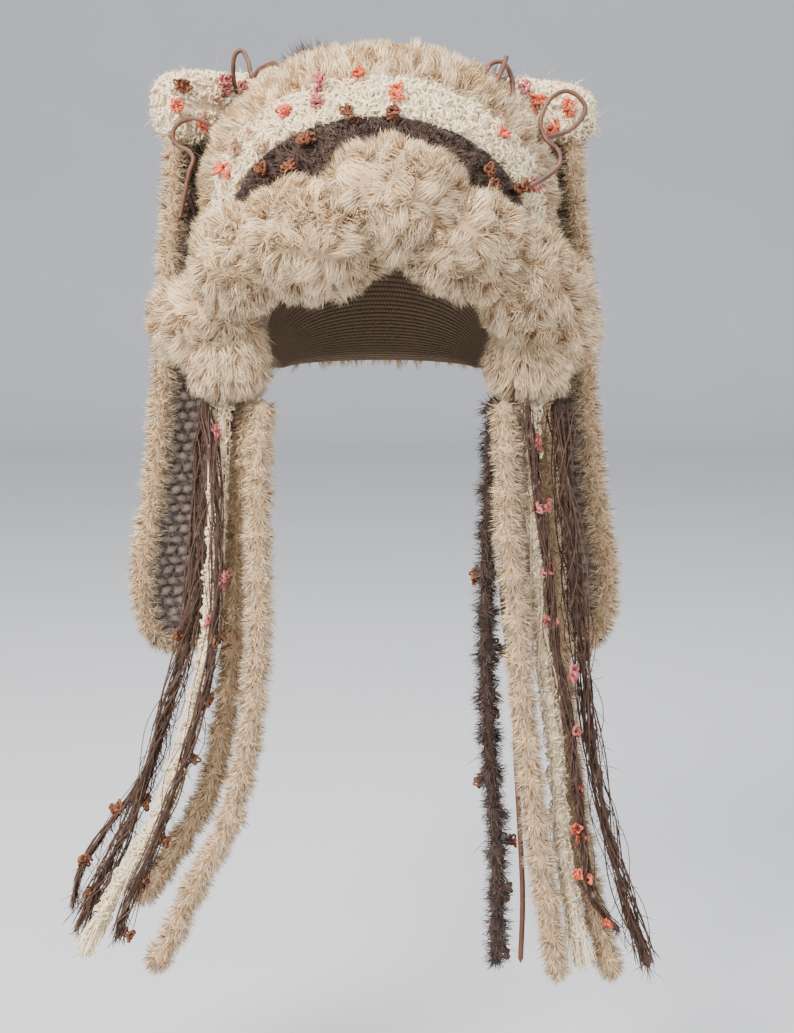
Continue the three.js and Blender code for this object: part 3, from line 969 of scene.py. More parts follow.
    def curl(
        self, work: Work, count: int, size: float, width: float, rng: np.random.Generator,
        keep: Keep | None = None,
    ) -> None:
        """Covers the surface with the small loops of boucle yarn.

        Args:
            work: The piece that the loops are added to.
            count: How many.
            size: A loop's radius.
            width: How thick the yarn is.
            rng: The random source.
            keep: A test of the points that may carry loops.
        """
        u, v = self.scatter(count, rng)
        if keep is not None:
            kept = keep(self.points(u, v))
            u, v = u[kept], v[kept]
        count = len(u)
        out = self.normals(u, v)
        first = unit(np.cross(out, rng.normal(size=out.shape)))
        second = unit(out + np.cross(first, out) * rng.normal(size=(count, 1)) * 0.6)
        radius = size * (0.6 + 0.8 * rng.random((count, 1)))
        heart = self.points(u, v) + out * radius * 0.5
        turn = np.linspace(-2.3, 2.3, 4)[None, :, None]
        swirl = first[:, None] * np.sin(turn) + second[:, None] * np.cos(turn)
        paths = heart[:, None] + swirl * radius[:, None] + out[:, None] * turn * size * 0.12
        # Painted shade: each loop is darker towards its ends, where it goes into the surface, and lighter at
        # its crest.
        height = 0.35 + 0.65 * (np.cos(turn[..., 0]) + 1) / 2
        shade = np.clip(0.55 + rng.normal(size=count) * 0.3, 0, 1)
        spin = np.cross(first, second)
        rods(work, paths, width / 2, 3, shade, spin=spin, tip=height, blunt=0.4)

    def skin(self, work: Work, across: int, down: int, tip: float, tone: float) -> None:
        """Adds the surface itself, closed at its ends.

        Args:
            work: The piece that it is added to.
            across: How many steps it has along u.
            down: How many steps it has along v.
            tip: Where its colour lies between root and tip. A low tip makes it dark, painted shade beneath
                the hair or loops.
            tone: How light it is.
        """
        net = self.net(across, down)
        flip = self.turn < 0
        if not self.wraps:
            work.add(net.reshape(-1, 3), grid(across, down, False, flip), tip, tone)
            return
        ends = net[[0, -1], :-1].mean(1)
        points = np.concatenate([net[:, :-1].reshape(-1, 3), ends])
        j = np.arange(down)
        k, low, high = (j + 1) % down, (across + 1) * down, (across + 1) * down + 1
        lids = np.concatenate([rows(low, j, k), rows(high, k + across * down, j + across * down)])
        faces = np.concatenate([grid(across, down, True, False), lids])
        work.add(points, faces[:, ::-1] if flip else faces, tip, tone)


def shell(
    work: Work, outer: Patch, inner: Patch, across: int, down: int, tip: float, tone: float,
    knit: tuple[float, float] | None = None,
) -> None:
    """Adds a closed wall between two open surfaces that share their ways.

    Args:
        work: The piece that it is added to.
        outer: The surface that faces out.
        inner: The surface that faces in.
        across: How many steps it has along u.
        down: How many steps it has along v.
        tip: Where its colour lies between root and tip. A low tip makes it dark, painted shade beneath the
            hair or loops.
        tone: How light it is.
        knit: How many rows and stitches its inside and rims have, which take the second finish, or
            none where it has one finish.
    """
    wide = down + 1
    size = (across + 1) * wide
    points = np.concatenate([side.net(across, down).reshape(-1, 3) for side in (outer, inner)])
    i, j = np.arange(across), np.arange(down)
    first, last = i * wide, i * wide + down
    end = across * wide + j
    rims = []
    for a, b in ((j, j + 1), (end + 1, end), (first + wide, first), (last, last + wide)):
        rims += [rows(a, b, b + size), rows(a, b + size, a + size)]
    sheets = [grid(across, down, False, False), grid(across, down, False, True) + size]
    faces = np.concatenate(sheets + rims)
    tips, tones, slots = np.full(2 * size, tip), np.full(2 * size, tone), np.zeros(len(faces), int)
    if knit is not None:
        tips[size:] = np.repeat(np.linspace(0, knit[0], across + 1), wide)
        tones[size:] = np.tile(np.linspace(0, knit[1], wide), across + 1)
        # The inside and the rims take the dark lining: painted shade where the wall shows between stripes.
        slots[len(sheets[0]) :] = 1
    work.add(points, faces[:, ::-1] if outer.turn < 0 else faces, tips, tones, slots)


# The cap


class Blossom(Enum):
    """The kinds of yarn blossom, by finish."""

    CORAL = CORAL
    PINK = PINK
    RUST = RUST
    TAN = TAN


@dataclass(frozen=True)
class Petals:
    """A blossom of two small knots of looped yarn in one colour, a little way apart."""

    size: float = 0.0054
    spread: float = 0.0028
    yarn: float = 0.0010
    loops: int = 8

    def pair(self, work: Work, heart: Array, out: Array, slot: int, rng: np.random.Generator) -> None:
        """Adds the blossom's two knots.

        Args:
            work: The piece that they are added to.
            heart: Their middle.
            out: The way that they face.
            slot: Their finish's number.
            rng: The random source.
        """
        for shift in rng.normal(size=(2, 3)) * self.spread:
            self.open(work, heart + shift, out, slot, rng)

    def open(self, work: Work, heart: Array, out: Array, slot: int, rng: np.random.Generator) -> None:
        """Adds one knot.

        Args:
            work: The piece that it is added to.
            heart: Its middle.
            out: The way that it faces.
            slot: Its finish's number.
            rng: The random source.
        """
        aside = unit(np.cross(out, [0.3, 0.2, 1.0]))
        above = np.cross(out, aside)
        turn = (np.arange(self.loops) + rng.random(self.loops) * 0.6) * 2 * np.pi / self.loops
        lift = rng.random((self.loops, 1)) * 1.1 + 0.15
        way = unit(aside * np.cos(turn)[:, None] + above * np.sin(turn)[:, None] + out * lift)
        flat = unit(np.cross(way, out + rng.normal(size=way.shape) * 0.4))
        step = np.linspace(0, np.pi, 6)[None, :, None]
        long = self.size * (0.75 + 0.5 * rng.random((self.loops, 1, 1)))
        paths = heart + way[:, None] * np.sin(step) * long + flat[:, None] * np.cos(step) * long * 0.34
        paths = paths + out * 0.0008
        tone = np.clip(0.5 + rng.normal(size=self.loops) * 0.25, 0, 1)
        # Painted shade: each petal loop is darker at its ends, near the knot's heart, and lighter at its
        # middle.
        tip = 0.35 + 0.6 * np.sin(step[0, :, 0])
        rods(work, paths, self.yarn, 3, tone, slot, np.cross(way, flat), tip, 0.6)


@dataclass(frozen=True)
class Band:
    """One stripe of the cap.

    It runs from row to row. Pile and skin are the pile's depth and the skin's height in it as shares, and
    hair is how its hairs stand. Loops is its number of boucle loops, and the tufts are places along it, from
    x to x, where longer hair sticks up.
    """

    name: str
    start: float
    stop: float
    pile: float
    skin: float
    finish: Finish
    hair: Pile
    loops: int = 0
    tufts: tuple[tuple[float, float], ...] = ()


BOUCLE_FUZZ = Pile(
    hairs=0, fine=6500, length=0.0085, width=0.0006, comb=0, hang=0, stray=0.8, lock=0.005, gather=0.3
)
TUFT = Pile(
    hairs=5000, fine=9000, length=0.024, width=0.0008, comb=0, hang=0, stray=0.5, lock=0.008, gather=0.4
)

BANDS = (
    Band("brown_band", 31.0, 51.0, 0.7, 0.78, BROWN, Pile(
        hairs=3500, fine=17000, length=0.0078, width=0.00078, stand=0.8, comb=0.1, hang=0.1, stray=0.9,
        lock=0.005, gather=0.4, tuft=0.7,
    )),
    Band("cream_band", 22.5, 31.0, 0.9, 0.68, CREAM, BOUCLE_FUZZ, loops=2000),
    Band("top_fur", -4.5, 22.5, 1.0, 0.36, BEIGE, Pile(
        hairs=6500, fine=36000, length=0.0112, width=0.00068, comb=0.3, hang=0.1, stray=0.4,
        lock=0.0085, gather=0.45, tuft=0.5,
    )),
    Band("rear_brown_band", -13.5, -4.5, 0.8, 0.3, BROWN, Pile(
        hairs=3000, fine=9000, length=0.0165, comb=-0.1, hang=0, stray=0.6, lock=0.012,
    ), tufts=((-0.062, -0.028), (0.070, 0.090))),
    Band("back_fur", -88.0, -13.5, 1.0, 0.3, BEIGE, Pile(
        hairs=5000, fine=34000, length=0.0120, comb=-0.35, hang=0.4, stray=0.4,
        lock=0.0095, gather=0.45, tuft=0.5,
    )),
)


@dataclass
class Cap:
    """The bonnet-shaped cap: an egg round the head in rows that fan out from the neck."""

    half_width: float = 0.110
    half_depth: float = 0.102
    rise: float = 0.085
    drop: float = 0.172
    x: float = 0.002
    y: float = 0.008
    wall: float = 0.008
    pile: float = 0.013
    neck: float = 0.215
    sweep: float = 83.0
    brow: float = 51.0
    rows_per_degree: float = 0.72
    stitches: float = 120.0
    fade: float = 6.0
    blossoms: tuple[tuple[Blossom, float, float], ...] = (
        (Blossom.RUST, 33.1, -0.165), (Blossom.RUST, 30.8, -0.051), (Blossom.RUST, 32.1, 0.038),
        (Blossom.RUST, 36.2, 0.289), (Blossom.RUST, 31.2, 0.393), (Blossom.RUST, 34.5, -0.29),
        (Blossom.RUST, 38.0, 0.16), (Blossom.RUST, 37.0, -0.22), (Blossom.TAN, 26.7, -0.348),
        (Blossom.TAN, 29.9, -0.278), (Blossom.CORAL, 25.5, -0.409), (Blossom.CORAL, 27.2, -0.197),
        (Blossom.CORAL, 23.6, -0.05), (Blossom.CORAL, 26.6, 0.03), (Blossom.CORAL, 26.4, 0.281),
        (Blossom.PINK, 27.5, -0.136), (Blossom.PINK, 23.6, -0.12), (Blossom.PINK, 26.0, 0.44),
        (Blossom.CORAL, 26.5, 0.56), (Blossom.TAN, 27.0, -0.55), (Blossom.CORAL, 27.5, -0.66),
    )

    def point(self, lap: "Array | float", sweep: "Array | float", out: "Array | float") -> Array:
        """Gives points a distance out from the hollow for the head.

        Args:
            lap: The row's angle in degrees, 0 over the top and positive to the brow.
            sweep: The place along the row, from -1 at the left to 1 at the right.
            out: The distance out.

        Returns:
            One point for each.
        """
        lap, sweep, out = np.broadcast_arrays(np.radians(lap), np.radians(sweep) * self.sweep, out)
        ray = rows(np.sin(sweep), -np.cos(sweep) * np.sin(lap), np.cos(sweep) * np.cos(lap))
        start = np.array([0.0, 0.0, self.rise - self.neck])
        reach = {}
        for height in (self.drop, self.rise):
            axes = rows(self.half_width + out, self.half_depth + out, height + out)
            a, b = np.sum((ray / axes) ** 2, -1), np.sum(ray * start / axes**2, -1)
            c = np.sum((start / axes) ** 2, -1) - 1
            reach[height] = (np.sqrt(np.maximum(b * b - a * c, 0)) - b) / a
        low = reach[self.drop]
        far = np.where(start[2] + low * ray[..., 2] <= 0, low, reach[self.rise])[..., None]
        return far * ray + start + [self.x, self.y, -self.rise]

    def outside(self, points: Array, out: float) -> Array:
        """Tells which points lie outside the cap.

        Args:
            points: The points.
            out: The distance out from the hollow at which the cap ends.

        Returns:
            True for each point outside.
        """
        _, deep, lap = self.inside(points, out)
        return (deep > 1) | (lap > self.brow) | (points[:, 2] < -self.neck)

    def inside(self, points: Array, out: float) -> tuple[Array, Array, Array]:
        """Measures how deep points lie in the cap.

        Args:
            points: The points.
            out: The distance out from the hollow at which the cap ends.

        Returns:
            The points from the cap's middle, the square of their depth, which is 1 on the cap, and their row.
        """
        centred = points - [self.x, self.y, -self.rise]
        height = np.where(centred[:, 2] > 0, self.rise, self.drop) + out
        axes = rows(self.half_width + out, self.half_depth + out, height)
        lap = np.degrees(np.arctan2(self.y - points[:, 1], points[:, 2] + self.neck))
        return centred, np.sum((centred / axes) ** 2, 1), lap

    def pushed(self, points: Array, out: float) -> Array:
        """Moves points that lie inside the cap out to a distance from the hollow.

        Args:
            points: The points.
            out: The distance. Before the brow it fades.

        Returns:
            The moved points.
        """
        centred, deep, lap = self.inside(points, out)
        near = smooth((self.brow + self.fade - lap) / self.fade)[:, None]
        swell = np.maximum(1 / np.maximum(np.sqrt(deep[:, None]), 0.05), 1) - 1
        return points + centred * swell * near

    def stripe(self, band: Band, rng: np.random.Generator) -> None:
        """Makes one stripe: its wall with the lining, its loops and its hair.

        Args:
            band: The stripe.
            rng: The random source.
        """
        work = Work()
        outer = StripePatch(self, band, self.wall + self.pile * band.pile * band.skin)
        inner = StripePatch(self, band, 0.0)
        knit = ((band.stop - band.start) * self.rows_per_degree, self.stitches)
        shell(work, outer, inner, 14, 60, 0.75 if band.loops else 0.12, 0.5, knit)
        if band.loops:
            outer.curl(work, band.loops, 0.0024, 0.0019, rng)
        outer.grow(work, band.hair, rng)
        for low, high in band.tufts:
            outer.grow(work, TUFT, rng, Span(low, high).holds)
        work.made(f"{band.name}_yarn", [band.finish, KNIT], band.finish.name, band.name)

    def build(self, rng: np.random.Generator) -> None:
        """Makes the stripes and their blossoms.

        Args:
            rng: The random source.
        """
        for band in BANDS:
            self.stripe(band, rng)
        work = Work()
        kinds = list(Blossom)
        for kind, lap, sweep in self.blossoms:
            heart = self.point(lap, sweep, self.wall + self.pile * 0.78)
            out = unit(heart - [self.x, self.y, -self.neck * 0.5])
            Petals().pair(work, heart, out, kinds.index(kind), rng)
        work.made("cap_blossoms", [kind.value for kind in kinds], "blossom_yarn", soft=False)


@dataclass(frozen=True)
class Span:
    """A stretch from one x to another."""

    low: float
    high: float

    def holds(self, points: Array) -> Array:
        """Tells which points lie in it."""
        return (points[:, 0] > self.low) & (points[:, 0] < self.high)


class StripePatch(Patch):
    """The surface of one stripe, u across it to the brow and v along its rows."""

    cells = (20, 60)

    def __init__(self, cap: Cap, band: Band, out: float) -> None:
        """Keeps the cap, the stripe and the distance out."""
        self.cap, self.band, self.out = cap, band, out

    def points(self, u: Array, v: Array) -> Array:
        """Gives points of the stripe.

        Args:
            u: Their first shares.
            v: Their second shares.

        Returns:
            One point for each.
        """
        lap = self.band.start + (self.band.stop - self.band.start) * u
        return self.cap.point(lap, 2 * v - 1, self.out)


# The brim


@dataclass(frozen=True)
class Lobe:
    """A lobe of the brim or a crease between two, as shares of the brim's sizes."""

    turn: float
    reach: float
    ahead: float
    tall: float
    thick: float


LOBES = (
    Lobe(-64, 1.42, -0.06, 0.6, 0.8), Lobe(-73, 1.27, 0.16, 0.78, 1.05), Lobe(-74, 1.08, 0.44, 0.86, 1.15),
    Lobe(-62, 1.03, 0.54, 0.78, 0.85), Lobe(-51, 1.06, 0.74, 0.98, 1.1), Lobe(-40, 0.96, 0.77, 0.84, 0.8),
    Lobe(-31, 0.94, 0.95, 1.02, 1.1), Lobe(-20, 0.84, 1.02, 0.98, 1.1), Lobe(-9, 0.84, 0.93, 0.8, 0.8),
    Lobe(2, 1.0, 1.03, 1.02, 1.05), Lobe(12, 1.0, 1.04, 1.0, 1.1), Lobe(21, 0.9, 0.92, 0.82, 0.8),
    Lobe(31, 0.91, 0.99, 0.92, 1.1), Lobe(40, 0.97, 0.91, 0.9, 1.0), Lobe(49, 1.0, 0.76, 0.86, 0.85),
    Lobe(57, 1.02, 0.72, 1.02, 1.15), Lobe(69, 1.09, 0.48, 1.0, 1.15), Lobe(76, 1.17, 0.2, 0.88, 1.05),
    Lobe(66, 1.3, -0.06, 0.62, 0.8),
)


@dataclass
class Brim(Patch):
    """The thick fur brim, ruffled in lobes round the face. U runs along it and v round it."""

    cap: Cap
    reach: float = 0.118
    ahead: float = 0.130
    tall: float = 0.043
    thick: float = 0.028
    end: float = 0.035
    pile: float = 0.0095
    wraps = True
    turn = -1.0
    cells = (150, 30)

    def __post_init__(self) -> None:
        """Draws the brim's line through its lobes."""
        turns = np.radians([lobe.turn for lobe in LOBES])
        reach = np.array([lobe.reach for lobe in LOBES]) * self.reach
        ahead = np.array([lobe.ahead for lobe in LOBES]) * self.ahead
        knots = rows(self.cap.x + reach * np.sin(turns), -ahead, reach * np.cos(turns) - self.cap.neck)
        self.line = Spline(knots)

    def column(self, name: str, share: Array) -> Array:
        """Reads a size between the lobes.

        Args:
            name: The size.
            share: Shares of the brim's length.

        Returns:
            The size at each.
        """
        values = np.array([getattr(lobe, name) for lobe in LOBES])
        place = share * (len(LOBES) - 1)
        row = np.minimum(np.floor(place).astype(int), len(LOBES) - 2)
        return values[row] + (values[row + 1] - values[row]) * smooth(place - row)

    def inner(self, u: Array) -> Array:
        """Gives the shares of the line that leave room for the fur at its ends."""
        return 0.5 + (u - 0.5) * (1 - 3 * self.pile / self.line.length)

    def normals(self, u: Array, v: Array) -> Array:
        """Gives the ways outward, which keep to the round of the roll where its folds meet.

        Args:
            u: The points' first shares.
            v: Their second shares.

        Returns:
            One direction for each.
        """
        round_way = unit(self.points(u, v) - self.line.at(self.inner(u), False))
        true = super().normals(u, v)
        return unit(round_way + true * np.sign(np.sum(true * round_way, -1, keepdims=True)) * 0.7)

    def clear(self, points: Array) -> Array:
        """Tells which points lie outside the cap's own fur."""
        return self.cap.outside(points, self.cap.wall + self.cap.pile * 0.6)

    def points(self, u: Array, v: Array) -> Array:
        """Gives points of the roll under the fur.

        Args:
            u: Their first shares.
            v: Their second shares.

        Returns:
            One point for each.
        """
        at, along = self.line.at(self.inner(u), False), self.line.along(self.inner(u), False)
        facing = unit((at - [self.cap.x, self.cap.y, 0]) * [1, 1, 0])
        facing = unit(facing - along * np.sum(facing * along, -1, keepdims=True))
        rise = np.cross(along, facing)
        near = np.maximum(1 - np.minimum(u, 1 - u) / self.end, 0)
        soft = np.maximum(np.sqrt(1 - np.minimum(near, 1) ** 2), 0.05)
        angle = 2 * np.pi * v
        tall = np.maximum(self.tall * self.column("tall", u) - self.pile, 0.01)
        thick = np.maximum(self.thick * self.column("thick", u) - self.pile * 0.8, 0.008)
        high, deep = tall * soft * np.sin(angle), thick * soft * np.cos(angle)
        return self.cap.pushed(at + rise * high[:, None] + facing * deep[:, None], self.cap.wall)

    def combed(self, u: Array, v: Array) -> Array:
        """Gives the way of the pile: off the crease on each side of a lobe."""
        place = u * (len(LOBES) - 1)
        return self.ways(u, v)[0] * np.sin(place * np.pi)[:, None] * 0.2

    def build(self, rng: np.random.Generator) -> None:
        """Makes the brim.

        Args:
            rng: The random source.
        """
        work = Work()
        self.skin(work, 150, 28, 0.12, 0.4)
        hair = Pile(
            hairs=22000, fine=119000, length=0.0118, width=0.00064, stand=0.85, comb=0.25, hang=0.15,
            stray=0.45, lock=0.0085, gather=0.45, tuft=0.7,
        )
        self.grow(work, hair, rng, self.clear)
        work.made("brim_fur", [BEIGE], "beige_fur", "brim_ruffle")


# The ears


@dataclass(frozen=True)
class Edge:
    """A height of an ear and its two edges, as shares."""

    down: float
    outer: float
    inner: float


EAR_EDGES = (
    Edge(0.0, 0.99, -0.45), Edge(0.16, 0.98, -0.06), Edge(0.27, 1.04, 0.02), Edge(0.38, 1.1, 0.04),
    Edge(0.54, 1.16, 0.06), Edge(0.72, 1.26, 0.1), Edge(0.88, 1.4, 0.2), Edge(0.96, 1.36, 0.34),
)


FLYAWAY = Pile(hairs=60, fine=0, length=0.024, width=0.0005, comb=0, hang=0, stray=0.8, lock=0.02, gather=0.1)


@dataclass
class Ear:
    """A lop ear: a boucle top, then a brown band and a chunky knit panel inside a fur border.

    Side is -1 for the left in the photograph and 1 for the right.
    """

    cap: Cap
    label: str
    side: int
    inner_x: float
    slope: float
    blossoms: tuple[tuple[Blossom, float, float], ...]
    length: float = 0.442
    width: float = 0.088
    inner_y: float = 0.094
    yaw: float = 33.0
    top_rise: float = 0.002
    top_depth: float = 0.046
    band_depth: float = 0.060
    top_thick: float = 0.034
    band_thick: float = 0.016
    border: float = 0.026
    panel_thick: float = 0.012
    inset: float = 0.014
    gap: float = 0.0003
    flat_share: float = 0.82

    def place(self, across: "Array | float", down: "Array | float", out: "Array | float") -> Array:
        """Gives points of the ear.

        Args:
            across: How far they lie across it from its inner edge.
            down: How far down from its top.
            out: How far behind its middle plane.

        Returns:
            One point for each.
        """
        yaw = math.radians(self.yaw)
        x = self.cap.x + self.side * (self.inner_x + across * math.cos(yaw) + out * math.sin(yaw))
        return rows(x, self.inner_y - across * math.sin(yaw) + out * math.cos(yaw), -np.asarray(down))

    def edge(self, name: str, down: "Array | float") -> Array:
        """Gives how far across an edge lies at a depth below the top."""
        depths = [row.down * self.length for row in EAR_EDGES]
        return np.interp(down, depths, [getattr(row, name) * self.width for row in EAR_EDGES])

    def facing(self) -> Array:
        """Gives the way that the ear's front faces."""
        return self.place(0.0, 0.0, -1.0) - self.place(0.0, 0.0, 0.0)

    def border_line(self) -> Spline:
        """Draws the border's line: down the outer edge, round the bottom and up the inner edge.

        Returns:
            The line.
        """
        inset, start, bottom = self.border / 2, self.top_depth + self.gap, self.length - self.border / 2
        edges = [row for row in EAR_EDGES if row.down * self.length > start + self.border]
        knots = [self.place(self.edge("outer", start) - inset, start, 0.0)]
        for row in edges:
            knots.append(self.place(row.outer * self.width - inset, row.down * self.length - inset, 0.0))
        last = EAR_EDGES[-1]
        for turn in (0.72, 0.32):
            across = (last.inner + (last.outer - last.inner) * turn) * self.width
            knots.append(self.place(across, bottom, 0.0))
        for row in edges[::-1]:
            knots.append(self.place(row.inner * self.width + inset, row.down * self.length - inset, 0.0))
        knots.append(self.place(self.edge("inner", start) + inset, start, 0.0))
        return Spline(knots)

    def stitches(self, work: Work, sign: int, rng: np.random.Generator) -> None:
        """Adds the fat knit stitches of one face of the panel.

        Args:
            work: The piece that they are added to.
            sign: -1 for the front and 1 for the back.
            rng: The random source.
        """
        start, stop = self.top_depth + self.band_depth, self.length - self.border * 0.7
        pitch, wide, margin, lift = 0.0080, 0.0104, self.inset * 1.3, sign * self.panel_thick * 0.34
        hearts, leans = [], []
        for row, down in enumerate(np.arange(start + pitch / 2, stop, pitch)):
            low, high = self.edge("inner", down) + margin, self.edge("outer", down) - margin
            for across in np.arange(low + (row % 2) * wide / 2, high, wide):
                shift = rng.normal(size=2) * 0.0006
                hearts.append(self.place(across + shift[0], down + shift[1], lift))
                leans.append(0.35 if row % 2 else -0.35)
        heart, lean = np.array(hearts), np.array(leans)[:, None] + rng.normal(size=(len(hearts), 1)) * 0.12
        across = self.place(1.0, 0.0, 0.0) - self.place(0.0, 0.0, 0.0)
        out = -self.facing() * sign
        way = unit(across * np.cos(lean) + DOWN * np.sin(lean))
        step = np.linspace(-1, 1, 4)[None, :, None]
        paths = heart[:, None] + way[:, None] * step * wide * 0.52 + out * (1 - step**2) * 0.0008
        size = 0.0043 * np.sqrt(np.maximum(1 - step[..., 0] ** 2 * 0.6, 0.05))
        tone = np.clip(0.45 + rng.normal(size=len(heart)) * 0.2, 0, 1)
        # Painted shade: each stitch is darker at its ends, where it tucks into the cloth.
        tip = 0.25 + 0.6 * (1 - step[0, :, 0] ** 2)
        rods(work, paths, size, 4, tone, 0, np.broadcast_to(out, heart.shape), tip, 0.4)

    def clear(self, points: Array) -> Array:
        """Tells which points lie outside the cap's own fur."""
        return self.cap.outside(points, self.cap.wall + self.cap.pile * 0.5)

    def faces(self, start: float, stop: float, thick: float) -> list["FacePatch"]:
        """Gives the front and the back of a slab between two depths below the top."""
        return [FacePatch(self, start, stop, thick, sign) for sign in (-1, 1)]

    def build_top(self, rng: np.random.Generator) -> None:
        """Makes the boucle top.

        Args:
            rng: The random source.
        """
        work = Work()
        top = TopPatch(self)
        top.skin(work, 40, 28, 0.75, 0.6)
        top.curl(work, 1400, 0.0027, 0.0022, rng, self.clear)
        top.grow(work, replace(BOUCLE_FUZZ, fine=8000), rng, self.clear)
        top.grow(work, FLYAWAY, rng, self.clear)
        work.made(f"{self.label}_ear_top_boucle", [CREAM], "cream_boucle", f"{self.label}_ear_top")

    def build_border(self, rng: np.random.Generator) -> None:
        """Makes the fur border.

        Args:
            rng: The random source.
        """
        work = Work()
        roll = RollPatch(self)
        roll.skin(work, 110, 12, 0.12, 0.4)
        hair = Pile(
            hairs=3000, fine=29000, length=0.0078, width=0.00074, comb=0.1, hang=0.1, stray=0.5,
            lock=0.005, gather=0.15, tuft=0.35,
        )
        roll.grow(work, hair, rng, self.clear)
        work.made(f"{self.label}_ear_border_fur", [BEIGE], "beige_fur", f"{self.label}_ear_border")

    def build_band(self, rng: np.random.Generator) -> None:
        """Makes the brown band under the top.

        Args:
            rng: The random source.
        """
        work = Work()
        faces = self.faces(self.top_depth, self.top_depth + self.band_depth, self.band_thick * 0.7)
        shell(work, *faces, 12, 12, 0.1, 0.4)
        hair = Pile(hairs=700, fine=4000, length=0.010, comb=0.2, hang=0.4, stray=0.7, lock=0.007, gather=0.3)
        for face in faces:
            face.grow(work, hair, rng, self.clear)
        work.made(f"{self.label}_ear_band_fuzz", [BROWN], "brown_fuzz", f"{self.label}_ear_band")

    def build_panel(self, rng: np.random.Generator) -> None:
        """Args:
            rng: The random source.
        """
        name, start, stop = self.label, self.top_depth + self.band_depth, self.length - self.border / 2
        work = Work()
        faces = self.faces(start, stop, self.panel_thick * 0.7)
        # The cloth is set to the darkest taupe: painted shade between the stitches.
        shell(work, *faces, 40, 12, 0.05, 0.15)
        panel = work.made(f"{name}_ear_panel_cloth", [TAUPE], "taupe_knit", f"{name}_ear_panel")
        work = Work()
        for sign in (-1, 1):
            self.stitches(work, sign, rng)
        hair = Pile(
            hairs=0, fine=9500, length=0.009, width=0.00075, stand=0.8, comb=0.3, hang=0.3, stray=1.0,
            lock=0.004, gather=0.3,
        )
        for face in faces:
            face.grow(work, hair, rng, slot=1)
        knit = work.made(f"{name}_ear_panel_stitches", [TAUPE, TAUPE_FUZZ], "taupe_knit", soft=False)

    def build(self, rng: np.random.Generator) -> None:
        """Makes the ear's pieces and its blossoms.

        Args:
            rng: The random source.
        """
        self.build_top(rng)
        self.build_border(rng)
        self.build_band(rng)
        self.build_panel(rng)
        work = Work()
        kinds = list(Blossom)
        for kind, across, down in self.blossoms:
            heart = self.place(across, down, -self.top_thick * 0.52)
            Petals().pair(work, heart, self.facing(), kinds.index(kind), rng)
        work.made(f"{self.label}_ear_blossoms", [kind.value for kind in kinds], "blossom_yarn", soft=False)


@dataclass
class TopPatch(Patch):
    """The cushion-like top of an ear. U runs across it and v round it."""

    ear: Ear
    square: float = 0.42
    wraps = True
    cells = (50, 40)

    def __post_init__(self) -> None:
        """Settles which way its faces turn."""
        self.turn = float(-self.ear.side)

    def points(self, u: Array, v: Array) -> Array:
        """Gives points of the top.

        Args:
            u: Their first shares.
            v: Their second shares.

        Returns:
            One point for each.
        """
        ear, tilt, turn = self.ear, np.pi * (u - 0.5), 2 * np.pi * v
        low, high = ear.edge("inner", 0.02), ear.edge("outer", 0.02)
        across = (low + high) / 2 + (high - low) / 2 * bulge(np.sin(tilt), self.square)
        girth = np.abs(np.cos(tilt)) ** self.square
        half = (ear.top_depth + ear.top_rise) / 2
        share = girth * bulge(np.cos(turn), self.square)
        down = half - ear.top_rise + half * share
        down = down + ear.slope * (1 - share) / 2 * np.maximum(across / high, 0)
        return ear.place(across, down, ear.top_thick / 2 * 0.9 * girth * bulge(np.sin(turn), self.square))


@dataclass
class RollPatch(Patch):
    """The round fur border of an ear. U runs along it and v round it."""

    ear: Ear
    core_share: float = 0.5
    wraps = True
    cells = (120, 16)

    def __post_init__(self) -> None:
        """Draws the border's line."""
        self.line = self.ear.border_line()

    def points(self, u: Array, v: Array) -> Array:
        """Gives points of the roll under the fur.

        Args:
            u: Their first shares.
            v: Their second shares.

        Returns:
            One point for each.
        """
        at, along, facing = self.line.at(u), self.line.along(u), self.ear.facing()
        wide = unit(np.cross(along, facing))
        half, angle = self.ear.border / 2 * self.core_share, 2 * np.pi * v
        return at + wide * (half * np.cos(angle))[:, None] + facing * (half * np.sin(angle))[:, None]

    def combed(self, u: Array, v: Array) -> Array:
        """Gives the way of the pile: down, and across the bottom."""
        return unit(self.ways(u, v)[0] * np.where(u < 0.5, 1, -1)[:, None])


@dataclass
class FacePatch(Patch):
    """One face of the knitted slab of an ear. U runs down it and v across it."""

    ear: Ear
    start: float
    stop: float
    thick: float
    sign: int
    cells = (40, 16)

    def __post_init__(self) -> None:
        """Settles which way its faces turn."""
        self.turn = float(-self.ear.side * self.sign)

    def points(self, u: Array, v: Array) -> Array:
        """Gives points of the face.

        Args:
            u: Their first shares.
            v: Their second shares.

        Returns:
            One point for each.
        """
        down = self.start + (self.stop - self.start) * u
        low = self.ear.edge("inner", down) + self.ear.inset
        high = self.ear.edge("outer", down) - self.ear.inset
        return self.ear.place(low + (high - low) * v, down, self.sign * self.thick / 2)


# The earflaps, and the ties that hang from them


